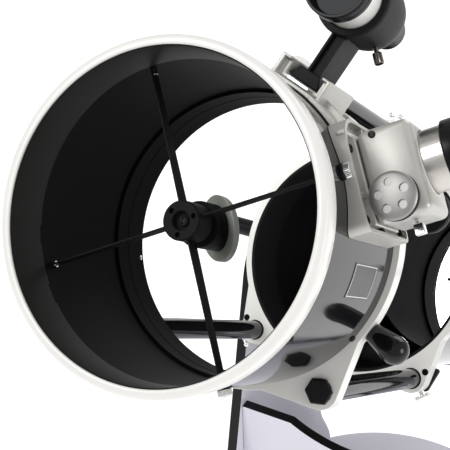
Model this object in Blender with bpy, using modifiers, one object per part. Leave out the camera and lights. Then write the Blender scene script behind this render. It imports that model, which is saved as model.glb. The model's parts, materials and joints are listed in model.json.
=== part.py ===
"""A collapsible three-strut Dobsonian telescope of 254 mm aperture and 1200 mm focal length.

The origin is on the floor, in the middle of the object's box. +Z is up, and the open end of
the tube points to -Y and up. Lengths are in metres.
"""

import math

import bmesh
import bpy
from mathutils import Matrix, Vector

MM = 0.001
GAP = 0.3 * MM  # air left between two pieces that touch

# The mounting: floor upwards.
AZIMUTH_Y = 160 * MM  # the azimuth axis, behind the middle of the object's box
FOOT_RADIUS, FOOT_HEIGHT, FOOT_CIRCLE = 26 * MM, 22 * MM, 222 * MM
BOARD = 18 * MM  # thickness of the two round boards
GROUND_RADIUS, FLOOR_RADIUS = 258 * MM, 267 * MM
BEARING_HEIGHT, BEARING_RADIUS = 7 * MM, 118 * MM
PIVOT_HOLE = 6.6 * MM
FLOOR_TOP = FOOT_HEIGHT + 2 * BOARD + BEARING_HEIGHT
AXIS_ABOVE_FLOOR = 590 * MM  # altitude axis above the rocker's floor board
AXIS_FORWARD = 7 * MM  # altitude axis in front of the azimuth axis
AXIS_PLACE = (0, -AXIS_FORWARD, FLOOR_TOP + AXIS_ABOVE_FLOOR)
PANEL_INSIDE, PANEL = 184.5 * MM, 16 * MM  # side panels: inner face from the middle, thickness
PANEL_ARC, PANEL_ARC_DROP = 127.6 * MM, 28 * MM  # rounded head of a side panel
PANEL_KNEE = (203 * MM, -335 * MM)  # where the slanted front edge ends: forward, up
PANEL_TOE, PANEL_HEEL = 166 * MM, -182 * MM  # its lower corners, forward of the axis
HEEL_RISE = 150 * MM
FRONT_FACE, FRONT_TOP = 168 * MM, -209 * MM  # front panel: forward of and above the axis
DIP_HALF, DIP_DEPTH = 102 * MM, 28 * MM

# The tube. Stations are distances behind the front lip, along the tube.
ALTITUDE = math.radians(35.8)  # how high the tube points
AXIS_STATION = 780 * MM
TUBE, WALL = 145 * MM, 2 * MM  # outer radius and wall
LIP_INNER, SKIRT, SKIRT_LENGTH = 140.2 * MM, 150.2 * MM, 21.8 * MM
COLLAR_END = 49 * MM
UPPER_END, RING_FRONT, RING_REAR, RING_COLLAR_END = 207 * MM, 207.3 * MM, 231 * MM, 239 * MM
RING_BORE, RING_OUTER = 139.5 * MM, 151 * MM
SLEEVE_FRONT = 188 * MM
LOBE_CENTRE, LOBE_RADIUS = 166 * MM, 18 * MM
LOBE_ANGLES = {"top": 0, "right": 139, "left": -139}  # degrees round the tube, from its top
FLANK_ANGLE = math.radians(21)  # from a lobe's middle to where its flank meets the rim
STRUT, STRUT_BORE, STRUT_END = 12 * MM, 12.4 * MM, 602 * MM
CAP_FRONT, CAP_ACROSS = 202 * MM, 24 * MM
LOWER_FRONT, LOWER_RING_REAR, LOWER_SLEEVE_END = 548 * MM, 578 * MM, 626 * MM
LOWER_BORE, LOWER_STRUT_BORE = 139.6 * MM, 13.2 * MM
LOWER_END, TAIL_END = 1152 * MM, 1165 * MM
MIRROR_RADIUS, MIRROR_FACE, MIRROR_THICK = 127 * MM, 1090 * MM, 30 * MM
FOCAL_LENGTH = 1200 * MM
CARRIER_RADIUS, CARRIER_THICK, CARRIER_GAP = 122 * MM, 10 * MM, 4 * MM
CELL_THICK = 14 * MM
KNOB_CIRCLE = 104 * MM

# The spider and the diagonal mirror.
VANE_ANGLES = (-30, 60, 150, 240)
VANE_STATION, VANE_WIDTH, VANE_THICK = 64 * MM, 15 * MM, 1.6 * MM
HUB_RADIUS, HUB_FRONT, HUB_REAR = 18 * MM, 52 * MM, 84 * MM
SCREW_CIRCLE = 11.5 * MM
DIAGONAL_STATION, DIAGONAL_RADIUS, DIAGONAL_THICK = 138 * MM, 30 * MM, 9 * MM

# The focuser stands square on the tube at FOCUSER_ANGLE round it.
FOCUSER_ANGLE, FOCUSER_STATION = 60, 129 * MM
SADDLE_TOP, SADDLE_LONG, SADDLE_WIDE = 155 * MM, 128 * MM, 106 * MM
BODY_TOP, BODY_LONG, BODY_UP, BODY_DOWN = 203 * MM, 72 * MM, 36 * MM, 46 * MM
DRAWTUBE, DRAWTUBE_BORE, DRAWTUBE_IN, DRAWTUBE_OUT = 28 * MM, 25.7 * MM, 156 * MM, 222 * MM
SHAFT, SHAFT_SIDE, SHAFT_RADIAL, SHAFT_HALF = 2 * MM, 30.4 * MM, 180 * MM, 62 * MM
KNOB, KNOB_THICK, KNOB_INNER = 20.5 * MM, 14 * MM, 51 * MM

# The finder, on its own shoe.
FINDER_ANGLE, FINDER_RADIAL, FINDER_SIDE = 21, 238 * MM, 7 * MM
SHOE_FRONT, SHOE_REAR, SHOE_TOP, SHOE_WIDE = 92 * MM, 160 * MM, 168 * MM, 54 * MM
STALK_FRONT, STALK_REAR, STALK_WIDE, STALK_FOOT = 116 * MM, 151 * MM, 14 * MM, 154 * MM
HOOP_FRONT, HOOP_REAR, HOOP_BORE, HOOP = 107 * MM, 171 * MM, 27.2 * MM, 34 * MM
FINDER_TUBE, FINDER_FRONT, FINDER_REAR = 26.5 * MM, 80 * MM, 222 * MM
FINDER_SCREW_STATION, FINDER_SCREW_ANGLES = 150 * MM, {"right": -50, "left": 70}
CELL_RADIUS, CELL_FRONT, CELL_REAR = 29.5 * MM, 63 * MM, 79.7 * MM

HANDLE_ANGLE, HANDLE_STATION = 112.5, 221 * MM  # the ball-ended handle on the strut ring

LARGE, MEDIUM, SMALL = 48, 28, 14  # sides of round shapes
BALL_TURNS = [math.radians(turn) for turn in (30, 60, 90, 120, 150)]  # down a small ball's profile
SEAT = (TUBE + GAP) / math.cos(math.pi / LARGE)  # what stands on the tube is hollowed to this


def clear_scene():
    for obj in list(bpy.data.objects):
        bpy.data.objects.remove(obj, do_unlink=True)


def collection(name):
    made = bpy.data.collections.new(name)
    bpy.context.scene.collection.children.link(made)
    return made


clear_scene()
PARTS = collection("dobsonian_telescope")
CUTTERS = collection("cutters")


def material(name, colour, roughness, metallic=0.0):
    made = bpy.data.materials.new(name)
    made.use_nodes = True
    shader = made.node_tree.nodes["Principled BSDF"]
    shader.inputs["Base Color"].default_value = (*colour, 1)
    shader.inputs["Roughness"].default_value = roughness
    shader.inputs["Metallic"].default_value = metallic
    return made


WHITE = material("white enamel", (0.86, 0.85, 0.82), 0.3)
BLACK_GLOSS = material("black gloss paint", (0.03, 0.03, 0.032), 0.12)
MATT_BLACK = material("matt black", (0.015, 0.015, 0.015), 0.8)
PLASTIC = material("black plastic", (0.02, 0.02, 0.02), 0.35)
LAMINATE = material("pale laminate", (0.72, 0.71, 0.76), 0.45)
CASTING = material("painted casting", (0.62, 0.61, 0.58), 0.4)
CHROME = material("bright metal", (0.8, 0.8, 0.8), 0.15, 1.0)
ALUMINIUM = material("brushed aluminium", (0.7, 0.69, 0.67), 0.3, 1.0)
MIRROR = material("mirror coating", (0.9, 0.9, 0.92), 0.03, 1.0)
GLASS_BACK = material("ground glass", (0.45, 0.47, 0.42), 0.5)
RUBBER = material("rubber", (0.03, 0.03, 0.03), 0.9)
NYLON = material("white nylon", (0.8, 0.79, 0.75), 0.5)


def empty(name, parent=None, matrix=None):
    made = bpy.data.objects.new(name, None)
    made.empty_display_size = 0.02
    PARTS.objects.link(made)
    made.parent = parent
    made.matrix_local = matrix or Matrix.Identity(4)
    return made


def placed(name, mesh, parent, matrix, finish, smooth=True):
    """A new object in PARTS, or among the hidden cutters when it has no finish."""
    made = bpy.data.objects.new(name, mesh)
    (PARTS if finish else CUTTERS).objects.link(made)
    made.parent = parent
    made.matrix_local = matrix or Matrix.Identity(4)
    if finish:
        mesh.materials.append(finish)
    else:
        made.hide_render = True
        made.display_type = "WIRE"
    if smooth:
        mesh.shade_smooth()
        mesh.set_sharp_from_angle(angle=math.radians(35))
    return made


def along(axis, place=(0, 0, 0)):
    """The matrix that turns a shape's own Z to an axis and moves it to a place."""
    turn = Vector((0, 0, 1)).rotation_difference(Vector(axis)).to_matrix().to_4x4()
    return Matrix.Translation(place) @ turn


def mesh_from(bm, name):
    mesh = bpy.data.meshes.new(name)
    bm.to_mesh(mesh)
    bm.free()
    return mesh


def cylinder(name, radius, low, high, parent, finish, matrix=None, sides=MEDIUM, top=None):
    """A rod from low to high along its own Z. top is the radius at the high end."""
    bm = bmesh.new()
    bmesh.ops.create_cone(
        bm,
        cap_ends=True,
        segments=sides,
        radius1=radius,
        radius2=radius if top is None else top,
        depth=high - low,
        matrix=Matrix.Translation((0, 0, (low + high) / 2)),
    )
    return placed(name, mesh_from(bm, name), parent, matrix, finish)


def box(name, low, high, parent, finish, matrix=None, bevel=0.0):
    bm = bmesh.new()
    size = [b - a for a, b in zip(low, high)]
    middle = [(a + b) / 2 for a, b in zip(low, high)]
    bmesh.ops.create_cube(bm, size=1, matrix=Matrix.Translation(middle) @ Matrix.Diagonal((*size, 1)))
    made = placed(name, mesh_from(bm, name), parent, matrix, finish, smooth=False)
    if bevel:
        rounded(made, bevel)
    return made


def rounded(obj, width, segments=2):
    bevel = obj.modifiers.new("rounded edges", "BEVEL")
    bevel.width, bevel.segments = width, segments
    bevel.limit_method, bevel.angle_limit = "ANGLE", math.radians(40)


def turned(name, profile, parent, finish, matrix=None, steps=MEDIUM, ring=True):
    """A profile of (radius, height) points, listed down the outer side, turned about Z.

    A ring's profile closes on itself; otherwise it starts and ends on the axis.
    """
    points = [(radius, 0, height) for radius, height in profile]
    edges = [(i, i + 1) for i in range(len(points) - 1)]
    if ring:
        edges.append((len(points) - 1, 0))
    mesh = bpy.data.meshes.new(name)
    mesh.from_pydata(points, edges, [])
    made = placed(name, mesh, parent, matrix, finish, smooth=False)
    screw = made.modifiers.new("turned", "SCREW")
    screw.axis, screw.angle = "Z", math.tau
    screw.steps = screw.render_steps = steps
    screw.use_merge_vertices, screw.merge_threshold = True, 0.00001
    screw.use_smooth_shade = False
    return made


def plate(name, outline, thickness, parent, finish, matrix=None):
    """A flat outline in its own XY plane, with its thickness either side of it."""
    curve = bpy.data.curves.new(name, "CURVE")
    curve.dimensions, curve.fill_mode = "2D", "BOTH"
    curve.extrude = thickness / 2
    spline = curve.splines.new("POLY")
    spline.points.add(len(outline) - 1)
    for point, (x, y) in zip(spline.points, outline):
        point.co = (x, y, 0, 1)
    spline.use_cyclic_u = True
    guide = bpy.data.objects.new(name + "_outline", curve)
    CUTTERS.objects.link(guide)
    bpy.context.view_layer.update()
    mesh = bpy.data.meshes.new_from_object(guide.evaluated_get(bpy.context.evaluated_depsgraph_get()))
    bpy.data.objects.remove(guide)
    bm = bmesh.new()
    bm.from_mesh(mesh)
    bmesh.ops.remove_doubles(bm, verts=bm.verts, dist=0.000001)
    bmesh.ops.recalc_face_normals(bm, faces=bm.faces)
    bm.to_mesh(mesh)
    bm.free()
    mesh.name = name
    return placed(name, mesh, parent, matrix, finish, smooth=False)


def boolean(obj, other, operation="DIFFERENCE"):
    step = obj.modifiers.new(f"{operation.lower()} {other.name}", "BOOLEAN")
    step.object, step.operation, step.solver = other, operation, "EXACT"


def joined(obj, *others):
    for other in others:
        boolean(obj, other, "UNION")
    return obj


def arc(centre, radius, first, last, count):
    """Points of an arc, from one angle to another in radians."""
    turns = [first + (last - first) * i / (count - 1) for i in range(count)]
    return [(centre[0] + radius * math.cos(t), centre[1] + radius * math.sin(t)) for t in turns]


# Frames ---------------------------------------------------------------------------------------

ground = empty("ground_frame", None, Matrix.Translation((0, AZIMUTH_Y, 0)))
rocker = empty("azimuth_axis", ground)
ota = empty(
    "altitude_axis",
    rocker,
    Matrix.Translation(AXIS_PLACE) @ Matrix.Rotation(math.pi / 2 - ALTITUDE, 4, "X"),
)


def station(distance):
    """Height in the tube's frame of a station behind the front lip."""
    return AXIS_STATION - distance


def round_tube(angle, radius=0.0, distance=AXIS_STATION):
    """A point at an angle in degrees round the tube, from its top towards +X."""
    turn = math.radians(angle)
    return Vector((radius * math.sin(turn), radius * math.cos(turn), station(distance)))


def square_frame(name, angle, distance):
    """A frame on the tube's axis whose Z points out at an angle and whose Y points forward."""
    out = round_tube(angle, 1.0).xy.to_3d()
    forward = Vector((0, 0, 1))
    turn = Matrix((forward.cross(out), forward, out)).transposed().to_4x4()
    return empty(name, ota, Matrix.Translation((0, 0, station(distance))) @ turn)


# Mounting -------------------------------------------------------------------------------------


def make_ground():
    board = cylinder(
        "ground_board", GROUND_RADIUS, FOOT_HEIGHT, FOOT_HEIGHT + BOARD, ground, LAMINATE, sides=LARGE
    )
    hole = cylinder("pivot_hole", PIVOT_HOLE, 0, FLOOR_TOP + 0.05, ground, None, sides=SMALL)
    boolean(board, hole)
    for name, angle in (("front", -90), ("rear_left", 150), ("rear_right", 30)):
        turn = math.radians(angle)
        place = Matrix.Translation((FOOT_CIRCLE * math.cos(turn), FOOT_CIRCLE * math.sin(turn), 0))
        cylinder(
            f"foot_{name}", FOOT_RADIUS, 0, FOOT_HEIGHT - GAP, ground, RUBBER, place, SMALL + 8, 22 * MM
        )
    bearing_low = FOOT_HEIGHT + BOARD + GAP
    bearing_high = bearing_low + BEARING_HEIGHT - 2 * GAP
    turned(
        "azimuth_bearing",
        [
            (PIVOT_HOLE, bearing_high),
            (BEARING_RADIUS, bearing_high),
            (BEARING_RADIUS, bearing_low),
            (PIVOT_HOLE, bearing_low),
        ],
        ground,
        NYLON,
        steps=MEDIUM,
    )
    head = FLOOR_TOP + GAP
    turned(
        "pivot_bolt",
        [
            (0, head + 9 * MM),
            (10 * MM, head + 9 * MM),
            (13 * MM, head + 6 * MM),
            (13 * MM, head),
            (6 * MM, head),
            (6 * MM, FOOT_HEIGHT - GAP),
            (11 * MM, FOOT_HEIGHT - GAP),
            (11 * MM, FOOT_HEIGHT - 8 * MM),
            (0, FOOT_HEIGHT - 8 * MM),
        ],
        ground,
        CHROME,
        steps=SMALL,
        ring=False,
    )
    return hole


def panel_outline():
    """A side panel's outline, as (forward, up) from the altitude axis."""
    knee, foot = Vector(PANEL_KNEE), -AXIS_ABOVE_FLOOR + GAP
    centre = Vector((0, -PANEL_ARC_DROP))
    # The slanted front edge touches the rounded head where it leaves it.
    reach = (knee - centre).length
    lean = math.atan2(knee.y - centre.y, knee.x - centre.x) + math.acos(PANEL_ARC / reach)
    head = arc(centre, PANEL_ARC, lean, math.pi, 22)
    heel = []
    for t in (1, 0.8, 0.6, 0.4, 0.2, 0):
        sway = (1 + math.cos(math.pi * t)) / 2
        heel.append((-PANEL_ARC + (PANEL_HEEL + PANEL_ARC) * sway, foot + HEEL_RISE * t))
    return [(PANEL_TOE, foot), PANEL_KNEE, *head, *heel]


def make_rocker(hole):
    low = FOOT_HEIGHT + BOARD + BEARING_HEIGHT
    board = cylinder("rocker_floor", FLOOR_RADIUS, low, FLOOR_TOP, rocker, LAMINATE, sides=LARGE)
    boolean(board, hole)
    axle = cylinder(
        "axle_hole", 22.3 * MM, -0.25, 0.25, rocker, None, along((1, 0, 0), AXIS_PLACE), SMALL + 8
    )
    # The outline's own X is forward (-Y), its Y is up, and its thickness runs along X.
    upright = Matrix(((0, 0, -1), (-1, 0, 0), (0, 1, 0))).to_4x4()
    for side, sign in (("left", -1), ("right", 1)):
        middle = sign * (PANEL_INSIDE + PANEL / 2)
        where = Matrix.Translation(AXIS_PLACE) @ Matrix.Translation((middle, 0, 0)) @ upright
        panel = plate(f"side_panel_{side}", panel_outline(), PANEL, rocker, LAMINATE, where)
        boolean(panel, axle)
        turned(
            f"altitude_bush_{side}",
            [
                (15.5 * MM, 4 * MM + GAP),
                (30 * MM, 4 * MM + GAP),
                (30 * MM, GAP),
                (22 * MM, GAP),
                (22 * MM, -PANEL),
                (15.5 * MM, -PANEL),
            ],
            rocker,
            NYLON,
            Matrix.Translation(AXIS_PLACE) @ along((sign, 0, 0), (sign * (PANEL_INSIDE + PANEL), 0, 0)),
            SMALL + 8,
        )
    half, bottom = PANEL_INSIDE - GAP, -AXIS_ABOVE_FLOOR + GAP
    dip_radius = (DIP_HALF**2 + DIP_DEPTH**2) / (2 * DIP_DEPTH)
    spread = math.asin(DIP_HALF / dip_radius)
    down = -math.pi / 2
    centre = (0, FRONT_TOP - DIP_DEPTH + dip_radius)
    dip = arc(centre, dip_radius, down - spread, down + spread, 13)
    outline = [(-half, bottom), (-half, FRONT_TOP), *dip, (half, FRONT_TOP), (half, bottom)]
    facing = Matrix(((1, 0, 0), (0, 0, -1), (0, 1, 0))).to_4x4()
    where = Matrix.Translation(AXIS_PLACE) @ Matrix.Translation((0, PANEL / 2 - FRONT_FACE, 0)) @ facing
    plate("front_panel", outline[::-1], PANEL, rocker, LAMINATE, where)


# Tube -----------------------------------------------------------------------------------------


def ring_profile(points):
    """(radius, station) points listed from the front outwards, as a turned profile."""
    return [(radius, station(distance)) for radius, distance in points]


def flank_lean():
    """How far round a lobe, from its outermost point, its straight flank starts."""
    corner = Vector((math.cos(FLANK_ANGLE), math.sin(FLANK_ANGLE))) * RING_OUTER
    reach = corner - Vector((LOBE_CENTRE, 0))
    return math.atan2(reach.y, reach.x) - math.acos(LOBE_RADIUS / reach.length)


def lobed_outline(count=12):
    """A round ring with a lobe at each strut: a small circle with two straight flanks."""
    lean = flank_lean()
    points = []
    angles = sorted(math.radians(angle) for angle in LOBE_ANGLES.values())
    for i, middle in enumerate(angles):
        following = angles[(i + 1) % 3] + (math.tau if i == 2 else 0)
        centre = (LOBE_CENTRE * math.sin(middle), LOBE_CENTRE * math.cos(middle))
        across = math.pi / 2 - middle
        last = math.pi / 2 - following + FLANK_ANGLE
        points += arc(centre, LOBE_RADIUS, across + lean, across - lean, count)
        points += arc((0, 0), RING_OUTER, across - FLANK_ANGLE, last, 18)
    return points


def lobed_ring(name, front, rear, finish):
    """The lobed casting between two stations, before its holes."""
    where = Matrix.Translation((0, 0, station((front + rear) / 2)))
    return plate(name, lobed_outline()[::-1], rear - front, ota, finish, where)


def cut_strut_holes(obj, front, rear, radius):
    for name, angle in LOBE_ANGLES.items():
        cutter = cylinder(
            f"{obj.name}_{name}_hole",
            radius,
            station(rear + 0.02),
            station(front - 0.02),
            ota,
            None,
            Matrix.Translation(round_tube(angle, LOBE_CENTRE).xy.to_3d()),
            SMALL + 8,
        )
        boolean(obj, cutter)


def bored_sleeve(name, outer, bore, front, rear):
    """A short tube that joins a lobed ring to its tube. It's a hidden helper."""
    sleeve = ring_profile([(bore, front), (outer, front), (outer, rear), (bore, rear)])
    return turned(name, sleeve, ota, None, steps=LARGE)


def make_upper_tube():
    inside, outside = TUBE - WALL - 0.4 * MM, TUBE + 0.4 * MM
    front = [
        (LIP_INNER + 1.8 * MM, 0),
        (SKIRT - 2.6 * MM, 0),
        (SKIRT - 0.8 * MM, 0.9 * MM),
        (SKIRT, 2.8 * MM),
        (SKIRT, SKIRT_LENGTH),
        (outside, SKIRT_LENGTH),
        (outside, 5 * MM),
        (inside, 5 * MM),
        (inside, COLLAR_END),
        (LIP_INNER, COLLAR_END),
        (LIP_INNER, 3 * MM),
        (LIP_INNER + 0.5 * MM, 1 * MM),
    ]
    turned("front_ring", ring_profile(front), ota, WHITE, steps=LARGE)
    inside = TUBE - WALL
    shell = ring_profile([(inside, 5.4 * MM), (TUBE, 5.4 * MM), (TUBE, UPPER_END), (inside, UPPER_END)])
    tube = turned("upper_tube", shell, ota, BLACK_GLOSS, steps=LARGE)
    ring = lobed_ring("strut_ring", RING_FRONT, RING_REAR, WHITE)
    collar = bored_sleeve("strut_ring_collar", TUBE, 130 * MM, RING_REAR - 0.001, RING_COLLAR_END)
    sleeve = bored_sleeve("strut_ring_sleeve", 142.6 * MM, 130 * MM, SLEEVE_FRONT, RING_FRONT + 0.001)
    joined(ring, collar, sleeve)
    bore = cylinder("strut_ring_bore", RING_BORE, station(0.26), station(0.17), ota, None, sides=LARGE)
    boolean(ring, bore)
    cut_strut_holes(ring, RING_FRONT, RING_REAR, STRUT_BORE)
    return tube


def make_struts():
    for name, angle in LOBE_ANGLES.items():
        centre = Matrix.Translation(round_tube(angle, LOBE_CENTRE).xy.to_3d())
        strut = cylinder(
            f"strut_{name}",
            STRUT,
            station(STRUT_END),
            station(RING_FRONT - 0.5 * MM),
            ota,
            BLACK_GLOSS,
            centre,
            SMALL + 8,
        )
        turn = centre @ Matrix.Rotation(math.radians(30 - angle), 4, "Z")
        cap = cylinder(
            f"strut_cap_{name}",
            CAP_ACROSS / 2 / math.cos(math.pi / 6),
            station(RING_FRONT - GAP),
            station(CAP_FRONT),
            ota,
            None,
            turn,
            6,
            CAP_ACROSS / 2,
        )
        joined(strut, cap)


def make_guide_handle():
    """A conical handle with a ball end, screwed into the rim of the strut ring."""
    ball, foot, first, middle = 14.2 * MM, 9.6 * MM, RING_OUTER + GAP, 178.5 * MM
    turns = [math.radians(90 - 20 * i) for i in range(6)]
    profile = [(ball * math.cos(t), middle + ball * math.sin(t)) for t in turns]
    profile[0] = (0, middle + ball)
    profile += [(foot, first), (0, first)]
    where = along(round_tube(HANDLE_ANGLE, 1.0).xy.to_3d(), (0, 0, station(HANDLE_STATION)))
    turned("guide_handle", profile, ota, BLACK_GLOSS, where, SMALL + 8, ring=False)


def make_spider():
    hub = [
        (0, HUB_FRONT + 3 * MM),
        (5.5 * MM, HUB_FRONT + 3 * MM),
        (5.5 * MM, HUB_FRONT),
        (HUB_RADIUS - 1 * MM, HUB_FRONT),
        (HUB_RADIUS, HUB_FRONT + 1 * MM),
        (HUB_RADIUS, HUB_REAR - 4 * MM),
        (HUB_RADIUS - 3 * MM, HUB_REAR),
        (0, HUB_REAR),
    ]
    middle = turned("spider_hub", ring_profile(hub), ota, MATT_BLACK, steps=SMALL + 8, ring=False)
    for i, angle in enumerate((-60, 60, 180), 1):
        place = Matrix.Translation(round_tube(angle, SCREW_CIRCLE).xy.to_3d())
        low, high = station(HUB_REAR + 0.01), station(HUB_FRONT - 0.01)
        hole = cylinder(f"screw_hole_{i}", 2.6 * MM, low, high, ota, None, place, 12)
        boolean(middle, hole)
    for name, angle in zip(("upper", "right", "lower", "left"), VANE_ANGLES):
        out = round_tube(angle, 1.0).xy.to_3d()
        forward = Vector((0, 0, 1))
        turn = Matrix((forward.cross(out), forward, out)).transposed().to_4x4()
        where = Matrix.Translation((0, 0, station(VANE_STATION))) @ turn
        box(
            f"spider_vane_{name}",
            (-VANE_THICK / 2, -VANE_WIDTH / 2, HUB_RADIUS + GAP),
            (VANE_THICK / 2, VANE_WIDTH / 2, TUBE - WALL - 0.5 * MM),
            ota,
            MATT_BLACK,
            where,
        )


def sheared(obj, angle):
    """Leans a round piece's ends at 45 degrees, to face an angle round the tube and the rear."""
    out = round_tube(angle, 1.0).xy
    for vertex in obj.data.vertices:
        vertex.co.z += vertex.co.xy.dot(out)


def make_diagonal():
    middle = station(DIAGONAL_STATION)
    high = DIAGONAL_THICK * math.sqrt(2)
    mirror = cylinder("diagonal_mirror", DIAGONAL_RADIUS, 0, high, ota, GLASS_BACK)
    sheared(mirror, FOCUSER_ANGLE)
    mirror.location.z = middle
    holder = cylinder("diagonal_holder", 21 * MM, 0, 1 * MM, ota, MATT_BLACK, sides=SMALL + 8)
    top = station(HUB_REAR) - 2 * MM
    out = round_tube(FOCUSER_ANGLE, 1.0).xy
    for vertex in holder.data.vertices:
        low = middle + high + GAP * 1.5 + vertex.co.xy.dot(out)
        vertex.co.z = top if vertex.co.z > 0.0005 else low


# Lower tube -----------------------------------------------------------------------------------


def make_lower_tube():
    inside, front = TUBE - WALL, LOWER_RING_REAR + GAP
    shell = ring_profile([(inside, front), (TUBE, front), (TUBE, LOWER_END), (inside, LOWER_END)])
    turned("lower_tube", shell, ota, BLACK_GLOSS, steps=LARGE)
    ring = lobed_ring("lower_ring", LOWER_FRONT, LOWER_RING_REAR, WHITE)
    sleeve = bored_sleeve(
        "lower_ring_sleeve", 142.6 * MM, 130 * MM, LOWER_RING_REAR - 0.001, LOWER_SLEEVE_END
    )
    joined(ring, sleeve)
    bore = cylinder("lower_ring_bore", LOWER_BORE, station(0.66), station(0.53), ota, None, sides=LARGE)
    boolean(ring, bore)
    cut_strut_holes(ring, LOWER_FRONT, LOWER_RING_REAR, LOWER_STRUT_BORE)
    tail = [
        (TUBE + 0.4 * MM, LOWER_END - 18 * MM),
        (SKIRT, LOWER_END - 18 * MM),
        (SKIRT, TAIL_END - 3 * MM),
        (SKIRT - 3 * MM, TAIL_END),
        (inside - 1 * MM, TAIL_END),
        (inside - 1 * MM, LOWER_END + GAP),
        (TUBE + 0.4 * MM, LOWER_END + GAP),
    ]
    turned("tail_ring", ring_profile(tail), ota, WHITE, steps=LARGE)


def make_primary():
    face = []
    for i in range(6):
        radius = MIRROR_RADIUS * i / 5
        sag = (MIRROR_RADIUS**2 - radius**2) / (4 * FOCAL_LENGTH)
        face.append((radius, MIRROR_FACE + sag))
    back = MIRROR_FACE + MIRROR_THICK
    profile = ring_profile([*face, (MIRROR_RADIUS, back), (0, back)])
    turned("primary_mirror", profile, ota, MIRROR, steps=LARGE, ring=False)
    carrier = empty("mirror_tilt_axis", ota, Matrix.Translation((0, 0, station(back + GAP))))
    cylinder("mirror_carrier", CARRIER_RADIUS, -CARRIER_THICK, 0, carrier, ALUMINIUM, sides=LARGE)
    front = back + GAP + CARRIER_THICK + CARRIER_GAP
    rear = front + CELL_THICK
    cell = cylinder(
        "mirror_cell", TUBE - WALL - 0.5 * MM, station(rear), station(front), ota, MATT_BLACK, sides=LARGE
    )
    for i, angle in enumerate((0, 120, 240), 1):
        place = Matrix.Translation(round_tube(angle + 60, 80 * MM).xy.to_3d())
        low, high = station(1.2), station(1.1)
        vent = cylinder(f"cell_vent_{i}", 34 * MM, low, high, ota, None, place, SMALL + 8)
        boolean(cell, vent)
        seat = Matrix.Translation(round_tube(angle, KNOB_CIRCLE).xy.to_3d())
        hole = cylinder(f"knob_hole_{i}", 3.5 * MM, low, high, ota, None, seat, 12)
        boolean(cell, hole)
        knob_front = rear + 3 * MM
        profile = ring_profile(
            [
                (0, front + 1 * MM),
                (3 * MM, front + 1 * MM),
                (3 * MM, knob_front),
                (11 * MM, knob_front),
                (11 * MM, TAIL_END),
                (0, TAIL_END),
            ]
        )
        turned(f"collimation_knob_{i}", profile, ota, PLASTIC, seat, SMALL, ring=False)


def make_altitude_hubs():
    """The trunnions: a saddle on the tube, a stub through the panel's bush, and a handle on it."""
    tube = cylinder("trunnion_saddle", SEAT, -0.1, 0.1, ota, None, sides=LARGE)
    for side, sign in (("left", -1), ("right", 1)):
        out = along((sign, 0, 0))
        stub = PANEL_INSIDE + PANEL + 4.6 * MM
        profile = [
            (0, stub),
            (14.9 * MM, stub),
            (14.9 * MM, PANEL_INSIDE - 1.5 * MM),
            (38 * MM, PANEL_INSIDE - 1.5 * MM),
            (42 * MM, PANEL_INSIDE - 6 * MM),
            (44 * MM, 132 * MM),
            (0, 132 * MM),
        ]
        hub = turned(f"altitude_hub_{side}", profile, ota, PLASTIC, out, MEDIUM, ring=False)
        boolean(hub, tube)
        first = stub + GAP
        last = first + 118 * MM
        grip = [
            (0, last),
            (9 * MM, last - 1 * MM),
            (13.2 * MM, last - 6 * MM),
            (13.4 * MM, first + 14 * MM),
            (18 * MM, first + 8 * MM),
            (18 * MM, first),
            (0, first),
        ]
        turned(f"altitude_handle_{side}", grip, ota, PLASTIC, out, SMALL + 8, ring=False)


def make_strut_locks():
    """A tee-headed screw in the tip of each lower lobe: a stem, a crossbar and a ball at each end."""
    distance = (LOWER_FRONT + LOWER_RING_REAR) / 2
    for name, angle in LOBE_ANGLES.items():
        out = round_tube(angle, 1.0).xy.to_3d()
        forward = Vector((0, 0, 1))
        turn = Matrix((forward.cross(out), forward, out)).transposed().to_4x4()
        tip = round_tube(angle, LOBE_CENTRE + LOBE_RADIUS, distance)
        where = Matrix.Translation(tip) @ turn
        stem = cylinder(f"strut_lock_{name}", 3 * MM, GAP, 8.5 * MM, ota, CHROME, where, SMALL)
        bar_place = where @ along((1, 0, 0), (0, 0, 7.5 * MM))
        bar = cylinder(f"lock_bar_{name}", 2 * MM, -6 * MM, 6 * MM, ota, None, bar_place, 12)
        joined(stem, bar)
        for sign in (-1, 1):
            ball = [(3.6 * MM * math.sin(t), 3.6 * MM * math.cos(t)) for t in BALL_TURNS]
            ball = [(0, 3.6 * MM), *ball, (0, -3.6 * MM)]
            end = where @ Matrix.Translation((sign * 6.5 * MM, 0, 7.5 * MM))
            bead = turned(f"lock_ball_{name}_{sign}", ball, ota, None, end, 12, ring=False)
            joined(stem, bead)


# Focuser --------------------------------------------------------------------------------------


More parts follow.
